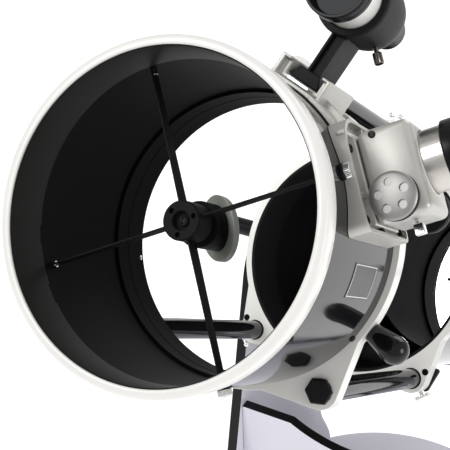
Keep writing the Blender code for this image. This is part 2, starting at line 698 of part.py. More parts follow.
def make_focuser(tube):
    """The frame's Z points out, its Y forward, and its -X down the side, where the shaft is."""
    frame = square_frame("focuser_axis", FOCUSER_ANGLE, FOCUSER_STATION)
    opening = cylinder("focuser_opening", 31 * MM, 0.1, 0.153, frame, None, sides=MEDIUM)
    boolean(tube, opening)
    half_long, half_wide = SADDLE_LONG / 2, SADDLE_WIDE / 2
    low, high = (-half_wide, -half_long, 0.12), (half_wide, half_long, SADDLE_TOP)
    saddle = box("focuser_saddle", low, high, frame, CASTING)
    rounded(saddle, 5 * MM)
    boolean(saddle, cylinder("saddle_seat", SEAT, -0.1, 0.1, frame, None, along((0, 1, 0)), LARGE))
    boolean(saddle, cylinder("saddle_bore", 29.6 * MM, 0.1, 0.16, frame, None))
    low = (-BODY_DOWN, -BODY_LONG / 2, SADDLE_TOP + GAP)
    body = box("focuser_body", low, (BODY_UP, BODY_LONG / 2, BODY_TOP), frame, CASTING)
    rounded(body, 6 * MM)
    boolean(body, cylinder("body_bore", DRAWTUBE + 0.6 * MM, 0.14, 0.22, frame, None))
    shaft_place = (-SHAFT_SIDE, 0, SHAFT_RADIAL)
    turn = along((0, 1, 0), shaft_place)
    boolean(body, cylinder("shaft_hole", SHAFT + 0.5 * MM, -0.06, 0.06, frame, None, turn, SMALL))
    turned(
        "drawtube",
        [
            (DRAWTUBE_BORE, DRAWTUBE_OUT),
            (DRAWTUBE, DRAWTUBE_OUT),
            (DRAWTUBE, DRAWTUBE_IN),
            (DRAWTUBE_BORE, DRAWTUBE_IN),
        ],
        frame,
        ALUMINIUM,
    )
    cylinder("focus_shaft", SHAFT, -SHAFT_HALF, SHAFT_HALF, frame, CHROME, turn, SMALL)
    for name, sign in (("front", 1), ("rear", -1)):
        outer, bore = KNOB_INNER + KNOB_THICK, SHAFT + GAP
        profile = [
            (0, outer - 3 * MM),
            (KNOB - 4 * MM, outer - 1 * MM),
            (KNOB - 2 * MM, outer),
            (KNOB, outer - 2 * MM),
            (KNOB, KNOB_INNER + 2 * MM),
            (KNOB - 2 * MM, KNOB_INNER),
            (bore, KNOB_INNER),
            (bore, SHAFT_HALF + GAP),
            (0, SHAFT_HALF + GAP),
        ]
        where = along((0, sign, 0), shaft_place)
        turned(f"focus_knob_{name}", profile, frame, ALUMINIUM, where, MEDIUM, ring=False)
    screw = [
        (0, 16 * MM),
        (4.5 * MM, 16 * MM),
        (5 * MM, 15 * MM),
        (5 * MM, 6 * MM),
        (2.5 * MM, 5 * MM),
        (2.5 * MM, GAP),
        (0, GAP),
    ]
    place = (-BODY_DOWN, 12 * MM, SHAFT_RADIAL + 4 * MM)
    turned("focus_lock_screw", screw, frame, CHROME, along((-1, 0, 0), place), SMALL, ring=False)
    adapter_low = DRAWTUBE_OUT + GAP
    bore = 15.9 * MM
    adapter = [
        (bore, adapter_low + 40 * MM),
        (21 * MM, adapter_low + 40 * MM),
        (22 * MM, adapter_low + 38 * MM),
        (22 * MM, adapter_low + 20 * MM),
        (29 * MM, adapter_low + 18 * MM),
        (31 * MM, adapter_low + 16 * MM),
        (31 * MM, adapter_low + 1.5 * MM),
        (29.5 * MM, adapter_low),
        (DRAWTUBE_BORE - GAP * 2, adapter_low),
        (DRAWTUBE_BORE - GAP * 2, adapter_low - 14 * MM),
        (bore, adapter_low - 14 * MM),
    ]
    turned("eyepiece_adapter", adapter, frame, PLASTIC)
    shoulder = adapter_low + 40 * MM + GAP
    eyepiece = [
        (0, shoulder + 36 * MM),
        (13 * MM, shoulder + 36 * MM),
        (13 * MM, shoulder + 40 * MM),
        (19 * MM, shoulder + 40 * MM),
        (20 * MM, shoulder + 38 * MM),
        (20 * MM, shoulder + 3 * MM),
        (18 * MM, shoulder),
        (15.6 * MM, shoulder),
        (15.6 * MM, shoulder - 28 * MM),
        (0, shoulder - 28 * MM),
    ]
    turned("eyepiece", eyepiece, frame, PLASTIC, steps=SMALL + 8, ring=False)
    out = Vector((0.8, -0.6, 0))
    place = out * 31 * MM + Vector((0, 0, adapter_low + 9 * MM))
    turned("adapter_thumbscrew", screw, frame, PLASTIC, along(out, place), SMALL, ring=False)


# Finder ---------------------------------------------------------------------------------------


def make_finder():
    """The shoe on the tube, the bracket's stalk and hoop, and the small refractor in the hoop."""
    frame = square_frame("finder_axis", FINDER_ANGLE, (SHOE_FRONT + SHOE_REAR) / 2)
    middle = (SHOE_FRONT + SHOE_REAR) / 2
    half_long, half_wide = (SHOE_REAR - SHOE_FRONT) / 2, SHOE_WIDE / 2
    low, high = (-half_wide, -half_long, 0.125), (half_wide, half_long, SHOE_TOP)
    shoe = box("finder_shoe", low, high, frame, CASTING)
    rounded(shoe, 3 * MM)
    boolean(shoe, cylinder("shoe_seat", SEAT, -0.1, 0.1, frame, None, along((0, 1, 0)), LARGE))
    low, high = (-17 * MM, -0.05, STALK_FOOT - GAP), (17 * MM, 0.05, 0.18)
    boolean(shoe, box("shoe_channel", low, high, frame, None))
    front, rear = middle - STALK_FRONT, middle - STALK_REAR
    bracket = box(
        "finder_bracket",
        (-STALK_WIDE / 2, rear, STALK_FOOT + 4 * MM),
        (STALK_WIDE / 2, front, FINDER_RADIAL - HOOP + 4 * MM),
        frame,
        PLASTIC,
    )
    foot = box(
        "bracket_foot",
        (-16 * MM, -half_long + 4 * MM, STALK_FOOT),
        (16 * MM, half_long - 4 * MM, STALK_FOOT + 12 * MM),
        frame,
        None,
    )
    centre = Vector((FINDER_SIDE, 0, FINDER_RADIAL))
    turn = along((0, 1, 0), centre)
    hoop = turned(
        "bracket_hoop",
        [
            (20 * MM, middle - HOOP_FRONT),
            (HOOP - 2 * MM, middle - HOOP_FRONT),
            (HOOP, middle - HOOP_FRONT - 4 * MM),
            (HOOP, middle - HOOP_REAR + 3 * MM),
            (HOOP - 2 * MM, middle - HOOP_REAR),
            (20 * MM, middle - HOOP_REAR),
        ],
        frame,
        None,
        turn,
    )
    joined(bracket, foot, hoop)
    boolean(bracket, cylinder("hoop_bore", HOOP_BORE, -0.1, 0.1, frame, None, turn))
    bore = FINDER_TUBE - 2 * MM
    optics = [
        (0, FINDER_FRONT + 85 * MM),
        (bore, FINDER_FRONT + 85 * MM),
        (bore, FINDER_FRONT),
        (FINDER_TUBE, FINDER_FRONT),
        (FINDER_TUBE, FINDER_REAR - 46 * MM),
        (17.5 * MM, FINDER_REAR - 32 * MM),
        (17.5 * MM, FINDER_REAR - 2 * MM),
        (16 * MM, FINDER_REAR),
        (8 * MM, FINDER_REAR),
        (8 * MM, FINDER_REAR - 3 * MM),
        (0, FINDER_REAR - 3 * MM),
    ]
    turned("finder_tube", [(r, middle - s) for r, s in optics], frame, WHITE, turn, ring=False)
    lens_front, lens_rear = CELL_FRONT + 12 * MM, CELL_FRONT + 15 * MM
    cell = [
        (0, lens_front),
        (24.5 * MM, lens_front),
        (26.5 * MM, CELL_FRONT),
        (CELL_RADIUS - 1 * MM, CELL_FRONT),
        (CELL_RADIUS, CELL_FRONT + 1 * MM),
        (CELL_RADIUS, CELL_REAR),
        (24.5 * MM, CELL_REAR),
        (24.5 * MM, lens_rear),
        (0, lens_rear),
    ]
    turned("finder_cell", [(r, middle - s) for r, s in cell], frame, PLASTIC, turn, ring=False)
    screw = [
        (0, 17 * MM),
        (4 * MM, 17 * MM),
        (4.5 * MM, 16 * MM),
        (4.5 * MM, 5 * MM),
        (2.2 * MM, 4 * MM),
        (2.2 * MM, GAP),
        (0, GAP),
    ]
    for name, angle in FINDER_SCREW_ANGLES.items():
        lean = math.radians(angle)
        out = Vector((math.sin(lean), 0, -math.cos(lean)))
        place = centre + out * HOOP + Vector((0, middle - FINDER_SCREW_STATION, 0))
        turned(f"finder_screw_{name}", screw, frame, CHROME, along(out, place), SMALL, ring=False)
    place = (half_wide, -21 * MM, SHOE_TOP - 7 * MM)
    turned("shoe_screw", screw, frame, CHROME, along((1, 0, 0), place), SMALL, ring=False)


pivot_hole = make_ground()
make_rocker(pivot_hole)
upper = make_upper_tube()
make_struts()
make_guide_handle()
make_spider()
make_diagonal()
make_lower_tube()
make_primary()
make_altitude_hubs()
make_strut_locks()
make_focuser(upper)
make_finder()
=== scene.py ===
import json
import math

import bmesh
import bpy
from mathutils import Matrix, Vector


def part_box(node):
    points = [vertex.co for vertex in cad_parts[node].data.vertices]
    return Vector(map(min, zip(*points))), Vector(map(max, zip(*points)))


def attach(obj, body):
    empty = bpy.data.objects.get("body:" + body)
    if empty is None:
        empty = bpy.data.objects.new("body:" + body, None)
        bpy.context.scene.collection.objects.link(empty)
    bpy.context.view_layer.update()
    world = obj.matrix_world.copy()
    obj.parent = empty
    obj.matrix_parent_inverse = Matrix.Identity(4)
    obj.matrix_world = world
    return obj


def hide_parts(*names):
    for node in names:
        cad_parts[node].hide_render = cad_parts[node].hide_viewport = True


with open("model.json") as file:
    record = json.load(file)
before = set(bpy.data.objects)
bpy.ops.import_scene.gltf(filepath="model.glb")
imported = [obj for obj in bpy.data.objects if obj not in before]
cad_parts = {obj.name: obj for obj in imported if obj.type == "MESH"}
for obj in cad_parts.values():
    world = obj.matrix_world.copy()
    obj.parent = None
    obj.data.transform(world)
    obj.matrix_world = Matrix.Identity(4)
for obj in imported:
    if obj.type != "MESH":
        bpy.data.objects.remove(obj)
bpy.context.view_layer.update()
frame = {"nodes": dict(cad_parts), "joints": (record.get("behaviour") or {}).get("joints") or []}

MM = 0.001
JOINTS = {joint["name"]: joint for joint in frame["joints"]}

# The tube's frame: Z runs forward along the tube from the altitude axis, Y is its upper side.
AXIS = Vector(JOINTS["altitude"]["pos_m"])
FORWARD = -Vector(JOINTS["cage_slide"]["axis"]).normalized()
UPWARD = FORWARD.cross(Vector((1, 0, 0)))
AXIS_STATION = 780 * MM  # stations are distances behind the front lip

# The camera, measured from the altitude axis.
CAMERA_PLACE = Vector((0.4204, -1.2403, 0.9176))
CAMERA_AIM = Vector((-0.4218, 0.7271, -0.5417))
CAMERA_RIGHT = Vector((0.8755, 0.4821, -0.0347))
CAMERA_LENS = 85.4

TUBE, WALL = 145 * MM, 1.6 * MM
STRUT_CIRCLE, STRUT = 166 * MM, 12 * MM
STRUT_FRONT, STRUT_REAR = 207.2 * MM, 602 * MM
CASTING_BORE, LOWER_FRONT = 143.4 * MM, 548 * MM
LOBE, RIM = 18 * MM, 151 * MM
LOBE_ANGLES = {"top": 0, "right": 139, "left": -139}
VANES = {"upper": -30, "right": 60, "lower": 150, "left": 240}
FOCUSER_ANGLE, FOCUSER_STATION = 60, 129 * MM
FINDER_ANGLE, FINDER_RADIAL, FINDER_SIDE, FINDER_MIDDLE = 21, 238 * MM, 7 * MM, 126 * MM
SEAT = [(0, -0.1), (TUBE + 0.3 * MM, -0.1), (TUBE + 0.3 * MM, 0.1), (0, 0.1)]  # cuts a saddle to the tube


# Places ---------------------------------------------------------------------------------------


def axes(x, y, z, place):
    """The matrix with these three axes, at a place."""
    return Matrix.Translation(place) @ Matrix((x, y, z)).transposed().to_4x4()


OTA = axes(Vector((1, 0, 0)), UPWARD, FORWARD, AXIS)


def station(distance):
    return AXIS_STATION - distance


def around(angle, radius=1.0, distance=AXIS_STATION):
    """A point in the tube's frame, at an angle round it from its top towards +X."""
    turn = math.radians(angle)
    return Vector((radius * math.sin(turn), radius * math.cos(turn), station(distance)))


def strut_line(angle):
    """The frame on a strut's middle line."""
    return OTA @ Matrix.Translation(around(angle, STRUT_CIRCLE).xy.to_3d())


def in_mm(points):
    return [(r * MM, z * MM) for r, z in points]


def scaled(*values):
    return [value * MM for value in values]


def in_metres(points):
    """Turns (radius, station) in millimetres into (radius, height) in the tube's frame."""
    return [(r * MM, station(s * MM)) for r, s in points]


def square_to(angle, distance):
    """A frame on the tube's middle line with Z out at an angle and Y forward."""
    out = around(angle).xy.to_3d()
    forward = Vector((0, 0, 1))
    return OTA @ axes(forward.cross(out), forward, out, (0, 0, station(distance)))


def along(axis, place=(0, 0, 0)):
    """Turns a shape's own Z to an axis and moves it to a place."""
    turn = Vector((0, 0, 1)).rotation_difference(Vector(axis)).to_matrix().to_4x4()
    return Matrix.Translation(place) @ turn


FOCUSER = square_to(FOCUSER_ANGLE, FOCUSER_STATION)
FINDER = square_to(FINDER_ANGLE, FINDER_MIDDLE)


# Materials ------------------------------------------------------------------------------------


def finish(name, colour, roughness, metallic=0.0, vary=0.08, grain=900, bump=0.05, stretch=(1, 1, 1),
           coat=0.0, shine=0.5, wear=None, blotch=0.05):
    """A surface with fine grain in its colour, roughness and relief, and its edges worn a little.

    vary is how far the roughness wanders, grain is how fine the relief is, blotch is how far the
    colour wanders, and shine is how much a dark surface mirrors.
    """
    made = bpy.data.materials.new(name)
    made.use_nodes = True
    nodes, links = made.node_tree.nodes, made.node_tree.links
    shader = nodes["Principled BSDF"]
    shader.inputs["Metallic"].default_value = metallic
    shader.inputs["Specular IOR Level"].default_value = shine
    if coat:
        shader.inputs["Coat Weight"].default_value = coat
        shader.inputs["Coat Roughness"].default_value = 0.04
    where = nodes.new("ShaderNodeTexCoord")
    mapping = nodes.new("ShaderNodeMapping")
    mapping.inputs["Scale"].default_value = stretch
    links.new(where.outputs["Object"], mapping.inputs["Vector"])
    fine = nodes.new("ShaderNodeTexNoise")
    fine.inputs["Scale"].default_value = grain
    fine.inputs["Detail"].default_value = 3
    links.new(mapping.outputs["Vector"], fine.inputs["Vector"])
    broad = nodes.new("ShaderNodeTexNoise")
    broad.inputs["Scale"].default_value = 14
    broad.inputs["Detail"].default_value = 4
    links.new(mapping.outputs["Vector"], broad.inputs["Vector"])
    spread = nodes.new("ShaderNodeMapRange")
    spread.inputs["To Min"].default_value = max(0.0, roughness - vary)
    spread.inputs["To Max"].default_value = min(1.0, roughness + vary)
    links.new(broad.outputs["Fac"], spread.inputs["Value"])
    links.new(spread.outputs["Result"], shader.inputs["Roughness"])
    tones = nodes.new("ShaderNodeValToRGB")
    tones.color_ramp.elements[0].position = 0.3
    tones.color_ramp.elements[0].color = (*[c * (1 - blotch) for c in colour], 1)
    tones.color_ramp.elements[1].position = 0.7
    tones.color_ramp.elements[1].color = (*[min(1, c * (1 + blotch)) for c in colour], 1)
    links.new(broad.outputs["Fac"], tones.inputs["Fac"])
    last = tones.outputs["Color"]
    if wear:
        shape = nodes.new("ShaderNodeNewGeometry")
        edge = nodes.new("ShaderNodeMapRange")
        edge.inputs["From Min"].default_value = 0.54
        edge.inputs["From Max"].default_value = 0.62
        edge.inputs["To Max"].default_value = 0.5
        links.new(shape.outputs["Pointiness"], edge.inputs["Value"])
        mix = nodes.new("ShaderNodeMixRGB")
        mix.inputs["Color2"].default_value = (*wear, 1)
        links.new(edge.outputs["Result"], mix.inputs["Fac"])
        links.new(last, mix.inputs["Color1"])
        last = mix.outputs["Color"]
    links.new(last, shader.inputs["Base Color"])
    relief = nodes.new("ShaderNodeBump")
    relief.inputs["Strength"].default_value = bump
    relief.inputs["Distance"].default_value = 0.0004
    links.new(fine.outputs["Fac"], relief.inputs["Height"])
    links.new(relief.outputs["Normal"], shader.inputs["Normal"])
    return made


WHITE = finish("white_enamel", (0.78, 0.765, 0.735), 0.3, bump=0.05, coat=0.25, blotch=0.02,
               wear=(0.88, 0.88, 0.86))
CASTING = finish("silver_casting", (0.50, 0.49, 0.46), 0.38, 0.45, bump=0.25, grain=1800, blotch=0.03,
                 wear=(0.85, 0.84, 0.8))
GLOSS = finish("black_gloss", (0.006, 0.006, 0.007), 0.07, vary=0.03, bump=0.02, grain=400, shine=0.28)
MATT = finish("matt_black", (0.010, 0.010, 0.010), 0.6, bump=0.3, grain=1500, blotch=0.15, shine=0.08)
INSIDE = finish("flock_black", (0.006, 0.006, 0.006), 0.55, vary=0.05, bump=0.15, grain=1200, blotch=0.1,
                shine=0.05)
COLLAR = finish("collar_black", (0.014, 0.014, 0.013), 0.45, vary=0.05, bump=0.1, grain=1200, shine=0.15)
PLASTIC = finish("black_plastic", (0.006, 0.006, 0.007), 0.26, bump=0.08, shine=0.16,
                 wear=(0.03, 0.03, 0.03))
CRACKLE = finish("black_crackle", (0.010, 0.010, 0.0105), 0.42, bump=0.7, grain=1300, blotch=0.2, shine=0.12)
CHROME = finish("bright_metal", (0.78, 0.78, 0.77), 0.12, 1.0, vary=0.05, bump=0.05)
DARK_CHROME = finish("dark_chrome", (0.22, 0.20, 0.19), 0.14, 1.0, vary=0.05, bump=0.05)
BRUSHED = finish("brushed_metal", (0.56, 0.54, 0.51), 0.3, 1.0, bump=0.35, grain=700, stretch=(1, 1, 0.04))
SATIN = finish("satin_metal", (0.34, 0.335, 0.325), 0.45, 1.0, vary=0.05, bump=0.1, grain=1500)
LAMINATE = finish("pale_laminate", (0.64, 0.63, 0.70), 0.42, bump=0.12, grain=500, blotch=0.015)
BANDING = finish("black_banding", (0.010, 0.010, 0.011), 0.35, bump=0.15, shine=0.12)
RUBBER = finish("rubber", (0.02, 0.02, 0.02), 0.8, bump=0.3)
NYLON = finish("nylon", (0.75, 0.74, 0.70), 0.45, bump=0.1)
SILVERED = finish("mirror_coating", (0.93, 0.93, 0.94), 0.015, 1.0, vary=0.01, bump=0.0, blotch=0.005)
GLASS_EDGE = finish("ground_glass", (0.38, 0.41, 0.36), 0.4, bump=0.2, grain=1400)
LENS = finish("coated_lens", (0.004, 0.008, 0.012), 0.03, vary=0.02, bump=0.0, shine=0.12)
LABEL = finish("dark_label", (0.02, 0.02, 0.022), 0.35, bump=0.05)
# Painted shade: a near-black colour put on parts at the bottom of holes, so that the holes look dark.
RECESS_SHADE = finish("painted_recess_shade", (0.003, 0.003, 0.003), 0.8, shine=0.1)


# Shapes ---------------------------------------------------------------------------------------


def piece(name, mesh, matrix, materials, body, replaces=(), slot=None, bevel=0.0, segments=2, angle=32):
    """A finished object: materials set, edges rounded, shaded smooth between its sharp edges."""
    made = bpy.data.objects.new(name, mesh)
    bpy.context.scene.collection.objects.link(made)
    materials = materials if isinstance(materials, (list, tuple)) else (materials,)
    if BRUSHED in materials:
        made.matrix_world = matrix  # its grain follows its own Z
    else:
        mesh.transform(matrix)
    for each in materials:
        mesh.materials.append(each)
    mesh.shade_smooth()
    mesh.set_sharp_from_angle(angle=math.radians(angle))
    if bevel:
        rounded = made.modifiers.new("rounded", "BEVEL")
        rounded.width, rounded.segments = bevel, segments
        rounded.limit_method, rounded.angle_limit = "ANGLE", math.radians(angle)
        rounded.harden_normals = True
    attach(made, body)
    if replaces:
        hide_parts(*replaces)
    return made


def lathe_mesh(name, profile, steps=72, closed=False, marks=None):
    """A mesh turned from (radius, height) points. marks gives a material index to each stretch."""
    bm = bmesh.new()
    rings = []
    for radius, height in profile:
        if radius < 1e-7:
            rings.append([bm.verts.new((0, 0, height))])
            continue
        turns = [math.tau * i / steps for i in range(steps)]
        rings.append([bm.verts.new((radius * math.cos(t), radius * math.sin(t), height)) for t in turns])
    pairs = list(zip(rings, rings[1:])) + ([(rings[-1], rings[0])] if closed else [])
    for index, (first, second) in enumerate(pairs):
        for i in range(steps):
            j = (i + 1) % steps
            if len(first) == 1 and len(second) == 1:
                break
            if len(first) == 1:
                face = bm.faces.new((first[0], second[i], second[j]))
            elif len(second) == 1:
                face = bm.faces.new((first[i], second[0], first[j]))
            else:
                face = bm.faces.new((first[i], second[i], second[j], first[j]))
            face.material_index = marks[index] if marks else 0
    bmesh.ops.recalc_face_normals(bm, faces=bm.faces)
    mesh = bpy.data.meshes.new(name)
    bm.to_mesh(mesh)
    bm.free()
    return mesh


def lathe(name, profile, matrix, materials, body, steps=72, closed=False, marks=None, **more):
    return piece(name, lathe_mesh(name, profile, steps, closed, marks), matrix, materials, body, **more)


def turned(name, profile, materials, body, **more):
    """A closed profile of (radius, height) turned about the tube's middle line."""
    return lathe(name, profile, OTA, materials, body, 160, True, **more)


def sector(name, first, last, front, rear, low, high, material, body, slot, bevel):
    """A curved block on the tube, between two angles, two stations and two radii in millimetres."""
    outer = arc((0, 0), high * MM, 90 - first, 90 - last, 16)
    inner = arc((0, 0), low * MM, 90 - last, 90 - first, 16)
    mesh = plate_mesh(name, outer + inner, station(rear * MM), station(front * MM))
    return piece(name, mesh, OTA, (material, material), body, slot=slot, bevel=bevel * MM)


def box_mesh(name, low, high, taper=(1, 1)):
    """A box whose high Z end is scaled in X and Y by taper."""
    bm = bmesh.new()
    size = [b - a for a, b in zip(low, high)]
    middle = Vector([(a + b) / 2 for a, b in zip(low, high)])
    bmesh.ops.create_cube(bm, size=1, matrix=Matrix.Translation(middle) @ Matrix.Diagonal((*size, 1)))
    for vertex in bm.verts:
        if vertex.co.z > middle.z:
            vertex.co.x = middle.x + (vertex.co.x - middle.x) * taper[0]
            vertex.co.y = middle.y + (vertex.co.y - middle.y) * taper[1]
    mesh = bpy.data.meshes.new(name)
    bm.to_mesh(mesh)
    bm.free()
    return mesh


def block(name, low, high, matrix, materials, body, bevel=1 * MM, taper=(1, 1), **more):
    return piece(name, box_mesh(name, low, high, taper), matrix, materials, body, bevel=bevel, **more)


def plate_mesh(name, outline, low, high):
    """A flat outline in XY between two heights. Its edge has the second material."""
    bm = bmesh.new()
    floor = [bm.verts.new((x, y, low)) for x, y in outline]
    face = bm.faces.new(floor)
    made = bmesh.ops.extrude_face_region(bm, geom=[face])
    bmesh.ops.translate(bm, vec=(0, 0, high - low), verts=[v for v in made["geom"] if hasattr(v, "co")])
    bmesh.ops.recalc_face_normals(bm, faces=bm.faces)
    for each in bm.faces:
        each.material_index = 0 if abs(each.normal.z) > 0.9 else 1
    mesh = bpy.data.meshes.new(name)
    bm.to_mesh(mesh)
    bm.free()
    return mesh


def arc(centre, radius, first, last, count):
    """Points of an arc between two angles in degrees."""
    points = []
    for i in range(count):
        turn = math.radians(first + (last - first) * i / (count - 1))
        points.append((centre[0] + radius * math.cos(turn), centre[1] + radius * math.sin(turn)))
    return points


def cut(obj, mesh, matrix):
    """Cuts a closed mesh from an object, for good."""
    tool = bpy.data.objects.new("tool", mesh)
    bpy.context.scene.collection.objects.link(tool)
    tool.matrix_world = matrix
    step = obj.modifiers.new("cut", "BOOLEAN")
    step.object, step.operation, step.solver = tool, "DIFFERENCE", "EXACT"
    obj.modifiers.move(len(obj.modifiers) - 1, 0)
    others = [m for m in obj.modifiers if m.name != step.name]
    for other in others:
        other.show_viewport = False
    bpy.context.view_layer.update()
    graph = bpy.context.evaluated_depsgraph_get()
    made = bpy.data.meshes.new_from_object(obj.evaluated_get(graph))
    obj.modifiers.remove(step)
    for other in others:
        other.show_viewport = True
    obj.data = made
    bpy.data.objects.remove(tool)
    made.set_sharp_from_angle(angle=math.radians(32))
    return obj


def settle(obj):
    """Makes rounded edges part of the mesh, so that a hole cut next keeps its own edge."""
    bpy.context.view_layer.update()
    graph = bpy.context.evaluated_depsgraph_get()
    made = bpy.data.meshes.new_from_object(obj.evaluated_get(graph))
    obj.modifiers.clear()
    obj.data = made


def drill(obj, radius, low, high, matrix, steps=40):
    return cut(obj, lathe_mesh("drill", [(0, low), (radius, low), (radius, high), (0, high)], steps), matrix)


def hexagon(name, across, low, high, matrix, material, body, **more):
    """A hexagonal head with a chamfer."""
    corner = across / 2 / math.cos(math.pi / 6)
    edge = (high - low) * 0.18
    profile = [(0, low), (corner, low), (corner, high - edge), (corner * 0.9, high), (0, high)]
    return lathe(name, profile, matrix, material, body, steps=6, bevel=0.5 * MM, angle=25, **more)


def socket_screw(name, radius, matrix, body, height=3 * MM, material=PLASTIC):
    """A screw with a round head and a six-sided socket."""
    head = lathe(name, [(0, -1 * MM), (radius, -1 * MM), (radius, height * 0.8), (radius * 0.85, height),
                        (0, height)], matrix, material, body, steps=28, bevel=0.2 * MM)
    socket = [(0, height * 0.35), (radius * 0.5, height * 0.35), (radius * 0.5, height * 2), (0, height * 2)]
    return cut(head, lathe_mesh("socket", socket, 6), matrix)


def dome_screw(name, radius, matrix, body, material=CHROME):
    """A domed screw with a cross recess."""
    turns = [math.radians(a) for a in (0, 20, 40, 60, 75)]
    dome = [(radius * math.cos(t), radius * 0.6 * math.sin(t)) for t in turns]
    profile = [(0, -1 * MM), (radius, -1 * MM), *dome, (0, radius * 0.6)]
    head = lathe(name, profile, matrix, material, body, steps=24)
    bar = (radius * 0.6, radius * 0.14)
    for size in (bar, bar[::-1]):
        cut(head, box_mesh("slot", (-size[0], -size[1], radius * 0.25), (size[0], size[1], radius)), matrix)
    return head


def disc_profile(radius, low, high, edge):
    """A solid disc's outline with both of its rims chamfered."""
    return [(0, low), (radius - edge, low), (radius, low + edge), (radius, high - edge),
            (radius - edge, high), (0, high)]


def knurled(name, radius, low, high, matrix, material, body, teeth=48, **more):
    """A round grip with fine teeth: a lathed band whose every other column stands proud."""
    edge = 0.7 * MM
    mesh = lathe_mesh(name, disc_profile(radius, low, high, edge), teeth * 2)
    for vertex in mesh.vertices:
        if vertex.co.xy.length > radius - edge / 2:
            step = round(math.atan2(vertex.co.y, vertex.co.x) / math.tau * teeth * 2)
            if step % 2:
                vertex.co.xy *= 1 - 0.5 * MM / radius
    return piece(name, mesh, matrix, material, body, angle=12, **more)


# Upper cage -----------------------------------------------------------------------------------


def make_shell(name, front, rear, body, node):
    """A tube's wall between two stations in millimetres, glossy outside and dull inside."""
    inner, front, rear = TUBE - WALL, station(front * MM), station(rear * MM)
    wall = [(inner, front), (TUBE, front), (TUBE, rear), (inner, rear)]
    return turned(name, wall, (GLOSS, INSIDE), body, marks=(0, 0, 0, 1), replaces=(node,), slot="black_tube")


def make_upper_tube():
    tube = make_shell("upper_tube_shell", 5.4, 207, "cage", "upper_tube")
    drill(tube, 31 * MM, 0.1, 0.153, FOCUSER)
    rim = [(142.2, 0.2), (144.0, 0.0), (147.4, 0.3), (149.2, 1.3), (150.1, 3.0), (150.2, 20.8),
           (149.6, 21.8), (145.4, 21.8), (145.4, 5), (142.7, 5), (141.6, 3), (141.5, 1)]
    turned("front_rim", in_metres(rim), WHITE, "cage", replaces=("front_ring",), slot="white_casting",
           angle=50)
    collar = [(142.5, 4.5), (140.6, 2.2), (140.3, 3.2), (140.3, 48.6), (140.8, 49), (142.6, 49),
              (142.9, 48.6)]
    sleeve = turned("front_collar", in_metres(collar), COLLAR, "cage", slot="matt_black", angle=50)
    for angle in (228, 251):
        notch = box_mesh("notch", (-9 * MM, -4 * MM, 0.13), (9 * MM, 4 * MM, 0.1415))
        cut(sleeve, notch, square_to(angle, 49 * MM))
    for name, angle, distance in (("a", 118, 40), ("b", 118, 203), ("c", -62, 203), ("d", -62, 40)):
        where = OTA @ along(around(angle).xy.to_3d(), around(angle, TUBE + 0.3 * MM, distance * MM))
        dome_screw(f"tube_screw_{name}", 3.4 * MM, where, "cage", PLASTIC)
    where = OTA @ along(-around(-112.6).xy.to_3d(), around(-112.6, 139.3 * MM, 233 * MM))
    dome_screw("collar_screw", 2.6 * MM, where, "cage")


def lobed_outline():
    """The strut castings' outline: a round rim, hollow flanks and three round lobes."""
    points = []
    lobes = sorted(LOBE_ANGLES.values())
    for i, middle in enumerate(lobes):
        following = lobes[(i + 1) % 3] + (360 if i == 2 else 0)
        turn = math.radians(middle)
        centre = (STRUT_CIRCLE * math.sin(turn), STRUT_CIRCLE * math.cos(turn))
        points += arc(centre, LOBE, 90 - middle + 44, 90 - middle - 44, 20)
        points += arc((0, 0), RIM, 90 - middle - 21, 90 - following + 21, 60)
    return points[::-1]


def make_lobed_ring(name, front, rear, body, node, hole):
    """A strut casting between two stations, with holes of one radius for the struts."""
    mesh = plate_mesh(name, lobed_outline(), station(rear), station(front))
    ring = piece(name, mesh, OTA, WHITE, body, replaces=(node,), slot="white_casting", bevel=1.6 * MM,
                 segments=3)
    for each in ring.data.polygons:
        each.material_index = 0
    drill(ring, CASTING_BORE, station(0.9), station(0.1), OTA, 160)
    for angle in LOBE_ANGLES.values():
        drill(ring, hole, station(0.9), station(0.1), strut_line(angle))
    return ring


def make_strut_ring():
    make_lobed_ring("strut_casting", 207.3 * MM, 228 * MM, "cage", "strut_ring", 12.3 * MM)
    collar = [(139.5, 207.8), (143.3, 207.8), (143.3, 228.6), (147, 228.6), (147, 232), (144.6, 239),
              (139.9, 239), (139.5, 238.4)]
    turned("strut_casting_collar", in_metres(collar), (WHITE, INSIDE), "cage",
           marks=(1, 0, 0, 0, 0, 0, 1, 1), slot="white_casting", bevel=0.6 * MM)
    sleeve = [(140.2, 188), (142.9, 188), (142.9, 207.2), (139.8, 207.2)]
    turned("strut_casting_sleeve", in_metres(sleeve), INSIDE, "cage", slot="matt_black")


def make_struts():
    for name, angle in LOBE_ANGLES.items():
        centre = strut_line(angle)
        low, high, edge = station(STRUT_REAR), station(STRUT_FRONT), 1.5 * MM
        rod = [(0, low), (STRUT - edge, low), (STRUT, low + edge), (STRUT, high), (0, high)]
        lathe(f"strut_rod_{name}", rod, centre, GLOSS, "cage", 64, replaces=(f"strut_{name}",),
              slot="black_strut")
        turn = centre @ Matrix.Rotation(math.radians(30 - angle), 4, "Z")
        hexagon(f"strut_bolt_{name}", 24 * MM, high, station(202.2 * MM), turn, PLASTIC, "cage",
                slot="black_plastic")


def make_guide_handle():
    """A straight cone that widens outwards and ends in a ball."""
    ball, middle, foot = 14.2 * MM, 178.5 * MM, 151.4 * MM
    turns = [math.radians(turn) for turn in range(90, -24, -6)]
    profile = [(ball * math.cos(t), middle + ball * math.sin(t)) for t in turns]
    profile[0] = (0, middle + ball)
    profile += [(9.8 * MM, foot + 0.6 * MM), (9.2 * MM, foot), (0, foot)]
    where = OTA @ along(around(112.5).xy.to_3d(), (0, 0, station(221 * MM)))
    lathe("guide_handle_grip", profile, where, GLOSS, "cage", 72, replaces=("guide_handle",),
          slot="black_plastic", angle=60)


